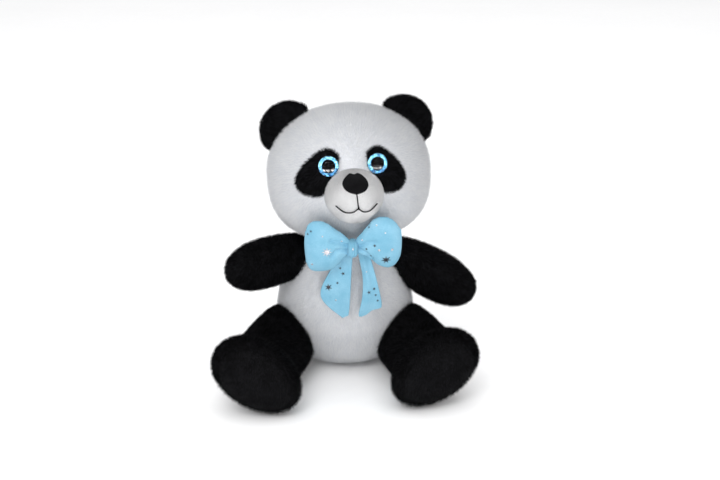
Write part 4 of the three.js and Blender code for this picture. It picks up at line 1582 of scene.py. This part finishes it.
def stitch_tree():
    """Short rounded stitches, end to end along a line."""
    tree = bpy.data.node_groups.new("stitches", "GeometryNodeTree")
    for name, kind in [
        ("Line", "NodeSocketGeometry"),
        ("Stitch", "NodeSocketFloat"),
        ("Radius", "NodeSocketFloat"),
        ("Thread", "NodeSocketMaterial"),
    ]:
        tree.interface.new_socket(name=name, in_out="INPUT", socket_type=kind)
    tree.interface.new_socket(name="Stitches", in_out="OUTPUT", socket_type="NodeSocketGeometry")
    given = wire(tree, "NodeGroupInput").outputs
    line = wire(tree, "GeometryNodeMeshToCurve", {"Mesh": given["Line"]}).outputs[0]
    line = wire(
        tree, "GeometryNodeCurveToPoints", {"Curve": line, "Length": given["Stitch"]}, mode="LENGTH"
    )
    bead = wire(tree, "GeometryNodeMeshIcoSphere", {"Radius": 1.0, "Subdivisions": 2}).outputs["Mesh"]
    half = wire(tree, "ShaderNodeMath", {0: given["Stitch"], 1: 0.62}, operation="MULTIPLY").outputs[0]
    size = wire(
        tree, "ShaderNodeCombineXYZ", {"X": given["Radius"], "Y": given["Radius"], "Z": half}
    ).outputs[0]
    turn = wire(
        tree, "FunctionNodeAlignRotationToVector", {"Vector": line.outputs["Tangent"]}, axis="Z"
    ).outputs[0]
    made = wire(
        tree,
        "GeometryNodeInstanceOnPoints",
        {"Points": line.outputs["Points"], "Instance": bead, "Rotation": turn, "Scale": size},
    ).outputs[0]
    made = wire(tree, "GeometryNodeRealizeInstances", {"Geometry": made}).outputs[0]
    made = wire(tree, "GeometryNodeSetShadeSmooth", {"Geometry": made}).outputs[0]
    made = wire(tree, "GeometryNodeSetMaterial", {"Geometry": made, "Material": given["Thread"]}).outputs[0]
    wire(tree, "NodeGroupOutput", {"Stitches": made})
    return tree


thread_finish = cloth_finish(
    "black_thread", (0.002, 0.002, 0.0025), (0.008, 0.008, 0.009), 3000.0, sheen=0.0, rough=0.7
)
mouth_mesh = bpy.data.meshes.new("mouth_line")
mouth_points, mouth_edges = [], []
for line in MOUTH_LINES:
    steps = 14
    for k in range(steps + 1):
        x, z = smooth_through(line, k / steps)
        place, out = muzzle_drop(x * MM, z * MM)
        if k:
            mouth_edges.append((len(mouth_points) - 1, len(mouth_points)))
        mouth_points.append(place + out * 1.9 * MM)
mouth_mesh.from_pydata(mouth_points, mouth_edges, [])
mouth = new_piece("mouth_stitches", mouth_mesh)
stitches = stitch_tree()
modifier = mouth.modifiers.new("stitches", "NODES")
modifier.node_group = stitches
for item in stitches.interface.items_tree:
    if item.in_out == "INPUT" and item.name in ("Stitch", "Radius", "Thread"):
        modifier[item.identifier] = {
            "Stitch": 1.9 * MM, "Radius": THREAD_RADIUS, "Thread": thread_finish
        }[item.name]
settled(mouth)
put_on(mouth, "head", "thread", "mouth_thread")
print("mouth:", len(mouth.data.polygons), "faces of thread")

# %% [markdown]
# ## Bow loops and knot
# The loops and the knot ride with the body. They are padded, so each loop has its own fibre inside.

# %% Bow
for side in SIDES:
    loop = new_piece(f"bow_loop_{side}_velour", loop_form[side].data.copy())
    loop.data.materials.clear()
    loop.data.materials.append(bow_cloth)
    put_on(loop, "torso", "bow_velour", f"bow_loop_{side}")
    filling(loop_form[side], f"bow_fibre_{side}", "torso", [f"bow_filling_{side}"])
knot_piece = new_piece("bow_knot_velour", knot_form.data.copy())
knot_piece.data.materials.clear()
knot_piece.data.materials.append(bow_cloth)
put_on(knot_piece, "torso", "bow_velour", "bow_knot")
print("bow knot:", len(knot_piece.data.polygons), "faces")

# %% [markdown]
# ## Foil stars
# The velour is printed with foil stars. Some are bright, and some are painted near black as a painted reflection
# of something dark. Each is a thin closed star laid flat on the cloth, with its own number of points and its own
# turn, so no two look stamped alike.


# %% Foil finishes
def foil_finish(name, dark, light, metal):
    made = material(name)
    tree = made.node_tree
    wrinkle = noise_on(tree, 900.0, 3.0)
    rough = wire(
        tree, "ShaderNodeMapRange", {"Value": wrinkle, "To Min": 0.15, "To Max": 0.4}
    ).outputs["Result"]
    shader = wire(
        tree,
        "ShaderNodeBsdfPrincipled",
        {
            "Base Color": ramp(tree, wrinkle, (0.35, dark), (0.65, light)), "Metallic": metal,
            "Roughness": rough
        },
    )
    output(tree, shader, wrinkle, 0.5)
    return made


silver_foil = foil_finish("silver_foil", (0.45, 0.38, 0.40), (0.95, 0.93, 0.95), 0.9)
# Painted reflection: this foil is painted near black, for the stars that mirror something dark.
painted_dark_reflection_foil = foil_finish("painted_dark_reflection_foil", (0.008, 0.009, 0.012), (0.06, 0.07, 0.09), 0.3)
print("foils:", silver_foil.name, painted_dark_reflection_foil.name)

# %% [markdown]
# ## Laying the stars
# Each star is thrown at the bow from in front and its corners settle on the nearest cloth, so it bends with it.

# %% Where the stars lie
# x and z from the knot in millimetres, size in millimetres, points, and foil.
LOOP_STARS = [
    (-26.5, -1, 5.6, 8, silver_foil), (-42.7, 22, 1.5, 5, painted_dark_reflection_foil), (-45.9, 18.4, 1.3, 5, painted_dark_reflection_foil),
    (-13.2, -18, 1.4, 5, painted_dark_reflection_foil), (-42.0, -16.6, 1.6, 6, silver_foil), (-11.5, 10, 1.5, 5, silver_foil),
    (34.3, -10.9, 5.4, 7, painted_dark_reflection_foil), (22.3, 6.2, 2.1, 5, painted_dark_reflection_foil), (26.9, 1.2, 2.0, 5, silver_foil),
    (40.3, 1.2, 2.1, 6, silver_foil), (9.4, 11.1, 1.6, 5, silver_foil), (16.5, 25.5, 1.3, 5, painted_dark_reflection_foil),
    (24.1, 28.7, 1.3, 5, silver_foil), (19.3, -8.4, 1.3, 5, painted_dark_reflection_foil), (0.2, 2.3, 2.0, 6, silver_foil),
    (14, 1.5, 1.5, 5, painted_dark_reflection_foil), (33, 21, 1.2, 5, silver_foil), (-31, 17, 1.2, 5, silver_foil),
]
TAIL_STARS = {
    "right": [
        (-10, -32.3, 2.2, 5, painted_dark_reflection_foil), (-16, -42.5, 1.6, 5, painted_dark_reflection_foil), (-25.4, -47.6, 4.2, 6, painted_dark_reflection_foil),
        (-17.6, -62, 1.3, 5, silver_foil), (-13, -26.6, 1.4, 5, painted_dark_reflection_foil),
    ],
    "left": [
        (
            17.3, -52.8, 2.1, 5, painted_dark_reflection_foil
        ), (22.6, -49.4, 1.8, 5, painted_dark_reflection_foil), (24.3, -56.5, 1.5, 5, painted_dark_reflection_foil),
        (26.4, -63, 1.5, 5, painted_dark_reflection_foil), (14.5, -30, 1.2, 5, silver_foil),
    ],
}


def foil_stars(name, stars, tree):
    """Thin closed stars on whatever cloth they meet from in front."""
    bm = bmesh.new()
    kinds = [silver_foil, painted_dark_reflection_foil]
    for n, (x, z, size, points, foil) in enumerate(stars):
        start = Vector((knot.x + x * MM, -0.3, knot.z + z * MM))
        hit, normal, _, _ = tree.ray_cast(start, Vector((0, 1, 0)))
        if hit is None:
            continue
        normal = normal if normal.y < 0 else -normal
        across = normal.cross(Vector((0, 0, 1))).normalized()
        up = across.cross(normal)
        rims = []
        for height in (0.35 * MM, -0.1 * MM):
            rim = []
            for k in range(points * 2):
                reach = size * MM * (1.0 if k % 2 == 0 else 0.36)
                angle = math.pi * k / points + 0.7 * n
                offset = across * math.cos(angle) * reach + up * math.sin(angle) * reach
                near, _, _, _ = tree.find_nearest(hit + offset)
                rim.append(bm.verts.new(near + normal * height))
            rims.append(rim)
        top, bottom = bm.verts.new(hit + normal * 0.5 * MM), bm.verts.new(hit - normal * 0.1 * MM)
        count = points * 2
        for k in range(count):
            j = (k + 1) % count
            for corners in (
                (top, rims[0][k], rims[0][j]), (bottom, rims[1][j], rims[1][k]),
                (rims[0][k], rims[1][k], rims[1][j], rims[0][j]),
            ):
                bm.faces.new(corners).material_index = kinds.index(foil)
    bmesh.ops.recalc_face_normals(bm, faces=bm.faces[:])
    mesh = bpy.data.meshes.new(name)
    bm.to_mesh(mesh)
    bm.free()
    for foil in kinds:
        mesh.materials.append(foil)
    return new_piece(name, mesh)


def joined_tree(*pieces):
    """One search tree over several pieces."""
    corners, faces = [], []
    for piece in pieces:
        start = len(corners)
        corners += [v.co.copy() for v in piece.data.vertices]
        faces += [[start + i for i in p.vertices] for p in piece.data.polygons]
    return BVHTree.FromPolygons(corners, faces)


bow_tree = joined_tree(loop_form["left"], loop_form["right"], knot_form)
loop_stars = foil_stars("bow_stars", LOOP_STARS, bow_tree)
put_on(loop_stars, "torso", "bow_velour")
print("stars:", len(loop_stars.data.polygons), "faces on the loops and knot")

# %% [markdown]
# ## Bow tails
# A tail is a strip of velour, hung from the knot, with one fold down it. It is built in rows across the outline,
# so every row can lean, fold and wave. Near the knot it follows the body, and lower down its own hinge.

# %% Bow tails
TAIL_OUTLINE = {
    "left": [
        (5, 4), (13, 4), (19, -7), (31, -58), (22, -64), (13, -71), (6.5, -70), (10, -50), (10.5, -27)
    ],
    "right": [(-7, 8), (0, 4), (-1, -18), (-3.5, -66), (-7, -71.5), (-13, -71.5), (-34, -48), (-22, -17)],
}
TAIL_THICKNESS = 1.8 * MM
# A fold along each tail: where it runs across the width, 0 to 1, how wide it is, and how far it stands out.
TAIL_FOLD = {"left": (0.35, 0.2, 2.4 * MM), "right": (0.55, 0.3, 1.2 * MM)}


def span_at(outline, z):
    """Left and right edge of an outline at a height."""
    found = []
    for (ax, az), (bx, bz) in zip(outline, outline[1:] + outline[:1]):
        if (az - z) * (bz - z) <= 0 and az != bz:
            found.append(ax + (bx - ax) * (z - az) / (bz - az))
    return min(found), max(found)


tail_pieces = {}
for side in SIDES:
    outline = [tuple(p) for p in smooth_outline(TAIL_OUTLINE[side], 160)]
    low, high = min(z for _, z in outline), max(z for _, z in outline)
    box_low, box_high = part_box(f"bow_tail_{side}")
    fold_at, fold_wide, fold_out = TAIL_FOLD[side]
    bm = bmesh.new()
    rows = []
    ROWS, COLUMNS = 54, 20
    for r in range(ROWS + 1):
        z = low + 0.15 + (high - low - 0.3) * (0.5 - 0.5 * math.cos(math.pi * r / ROWS))
        left_edge, right_edge = span_at(outline, z)
        down = (high - z) / (high - low)
        row = []
        for c in range(COLUMNS + 1):
            s = c / COLUMNS
            x = left_edge + (right_edge - left_edge) * s
            fold = fold_out * math.exp(
                -(((s - fold_at) / fold_wide) ** 2)
            ) * math.sin(math.pi * min(1, down * 1.15))
            wave = 0.8 * MM * math.sin(6.0 * down + 2.2 * s)
            y = box_high.y - 1.6 * MM - (box_high.y - box_low.y - 3.2 * MM) * down - fold + wave
            row.append(bm.verts.new((knot.x + x * MM, y, knot_low.z + z * MM)))
        rows.append(row)
    for a, b in zip(rows, rows[1:]):
        for i in range(COLUMNS):
            bm.faces.new((a[i], a[i + 1], b[i + 1], b[i]))
    tail = new_piece(f"bow_tail_{side}_velour", mesh_from("tail", bm))
    solid = tail.modifiers.new("cloth", "SOLIDIFY")
    solid.thickness = TAIL_THICKNESS
    solid.offset = 0
    finer = tail.modifiers.new("finer", "SUBSURF")
    finer.levels = finer.render_levels = 1
    settled(tail)
    tail.data.materials.append(bow_cloth)
    tail_stars = foil_stars(f"bow_tail_{side}_stars", TAIL_STARS[side], surface_of(tail))
    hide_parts(f"bow_tail_{side}")
    pivot = hinge(f"tail_lift_{side}")[0]
    for piece in (tail, tail_stars):
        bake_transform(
            piece, "torso", f"bow_tail_{side}", pivot + Vector((0, 0, 6 * MM)),
            pivot - Vector((0, 0, 8 * MM))
        )
    tail_pieces[side] = tail

# %% [markdown]
# ## Clearing up
# The closed forms were only patterns. The panels cut from them stay.

# %% Clear away the forms
form_sets = (arm_form, leg_form, ear_form, loop_form)
forms = [
    head_form, muzzle_form, body_form, knot_form, *(form for made in form_sets for form in made.values())
]
for form in forms:
    bpy.data.objects.remove(form)
print("forms cleared:", len(forms))

# %% [markdown]
# ## Floor and light
# A plain pale floor with one broad lamp above the toy and one in front. The floor has a lamp of its own, so it
# stays pale without washing out the fur.

# %% Floor and light
bpy.ops.mesh.primitive_plane_add(size=8)
floor = bpy.context.object
floor.name = "floor"
floor_finish = cloth_finish(
    "pale_floor", (0.93, 0.93, 0.935), (0.95, 0.95, 0.955), 5.0, sheen=0.0, strength=0.0
)
floor.data.materials.append(floor_finish)
floor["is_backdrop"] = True

world = bpy.data.worlds.new("studio")
bpy.context.scene.world = world
world.use_nodes = True
world.node_tree.nodes["Background"].inputs["Color"].default_value = (1.0, 1.0, 1.0, 1)
world.node_tree.nodes["Background"].inputs["Strength"].default_value = 0.78
bpy.context.scene.view_settings.view_transform = "Standard"


def soft_light(name, place, aim, size, power):
    """A round lamp that shines from one place at another, unseen by the camera."""
    lamp = bpy.data.lights.new(name, "AREA")
    lamp.shape = "DISK"
    lamp.size = size
    lamp.energy = power
    holder = bpy.data.objects.new(name, lamp)
    bpy.context.scene.collection.objects.link(holder)
    holder.location = place
    holder.rotation_euler = (Vector(aim) - Vector(place)).to_track_quat("-Z", "Y").to_euler()
    holder.visible_camera = False
    return holder


key_lamp = soft_light("key", place=(-0.5, -1.3, 1.5), aim=(0, 0, 0.15), size=0.9, power=9.5)
front_lamp = soft_light("front", place=(0.1, -1.6, 0.38), aim=(0, 0, 0.14), size=0.8, power=6.5)
# The floor has its own broad lamp, so it stays pale without washing out the fur.
floor_group = bpy.data.collections.new("floor_only")
floor_group.objects.link(floor)
floor_lamp = soft_light("floor_lamp", place=(0, 0, 3.0), aim=(0, 0, 0), size=4.0, power=52)
floor_lamp.light_linking.receiver_collection = floor_group
# The broad lamps would show in the eyes as a grey haze, so the clear domes are left out of their light.
all_but_domes = bpy.data.collections.new("all_but_domes")
dome_group = bpy.data.collections.new("domes")
for side in SIDES:
    all_but_domes.objects.link(eye_pieces[side])
    dome_group.objects.link(eye_pieces[side])
for entry in all_but_domes.collection_objects:
    entry.light_linking.link_state = "EXCLUDE"
for holder in (key_lamp, front_lamp):
    holder.light_linking.receiver_collection = all_but_domes
print("lamps:", key_lamp.name, front_lamp.name, floor_lamp.name)

# %% [markdown]
# ## Camera
# It looks a little down at the toy, from far enough away that the feet don't grow. The shift moves the picture
# without tilting the view.

# %% Camera
CAMERA_UP = math.radians(21.5)
CAMERA_AWAY = 1.35
aim = Vector((0, -20 * MM, 122.5 * MM))
camera_data = bpy.data.cameras.new("camera")
camera = bpy.data.objects.new("camera", camera_data)
bpy.context.scene.collection.objects.link(camera)
camera.location = aim + Vector((0, -math.cos(CAMERA_UP), math.sin(CAMERA_UP))) * CAMERA_AWAY
camera.rotation_euler = (math.pi / 2 - CAMERA_UP, 0, 0)
camera_data.sensor_width = 36
camera_data.lens = 61.4
camera_data.shift_x = 0.0208
camera_data.shift_y = 0.0222
bpy.context.scene.camera = camera
print("camera at", [round(c, 3) for c in camera.location], "lens", camera_data.lens)

# %% [markdown]
# ## Points of light in the eyes
# A domed eye mirrors a lamp as one bright dot. To put a dot at a chosen place, find which way the dome faces
# there, mirror the way to the camera in it, and stand a small lamp that lights only the domes out along it.

# %% Points of light in the eyes
SPARKLES = [(-3.6, -4.0), (0.8, -4.2)]  # across and up from the middle of the pupil, in millimetres
SPARKLE_AWAY, SPARKLE_SIZE, SPARKLE_POWER = 0.5, 0.12, 30.0
for side in SIDES:
    at = eye_frame_of(side)
    out = (at.to_3x3() @ Vector((0, 0, 1))).normalized()
    across = out.cross(Vector((0, 0, 1))).normalized() * -1
    up = across.cross(out) if across.cross(out).z > 0 else out.cross(across)
    middle = at.to_translation()
    to_camera = (camera.location - middle).normalized()
    for n, (x, z) in enumerate(SPARKLES):
        aside = (across * x + up * z) * MM
        share = aside.length / DOME_RADIUS
        tilt = math.atan(DOME_RISE / DOME_RADIUS * share / math.sqrt(1 - share**2))
        facing = out * math.cos(tilt) + aside.normalized() * math.sin(tilt)
        toward = 2 * facing.dot(to_camera) * facing - to_camera
        lamp_holder = soft_light(
            f"sparkle_{side}_{n}", middle + toward * SPARKLE_AWAY, middle, SPARKLE_SIZE, SPARKLE_POWER
        )
        lamp_holder.light_linking.receiver_collection = dome_group
print("points of light in each eye:", len(SPARKLES))

# %% [markdown]
# ## Size
# The visual model should be the solid's size, apart from pile. Its box is printed.

# %% Size and finish
low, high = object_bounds()
print("visual box in mm:", [round(c / MM) for c in low], [round(c / MM) for c in high])
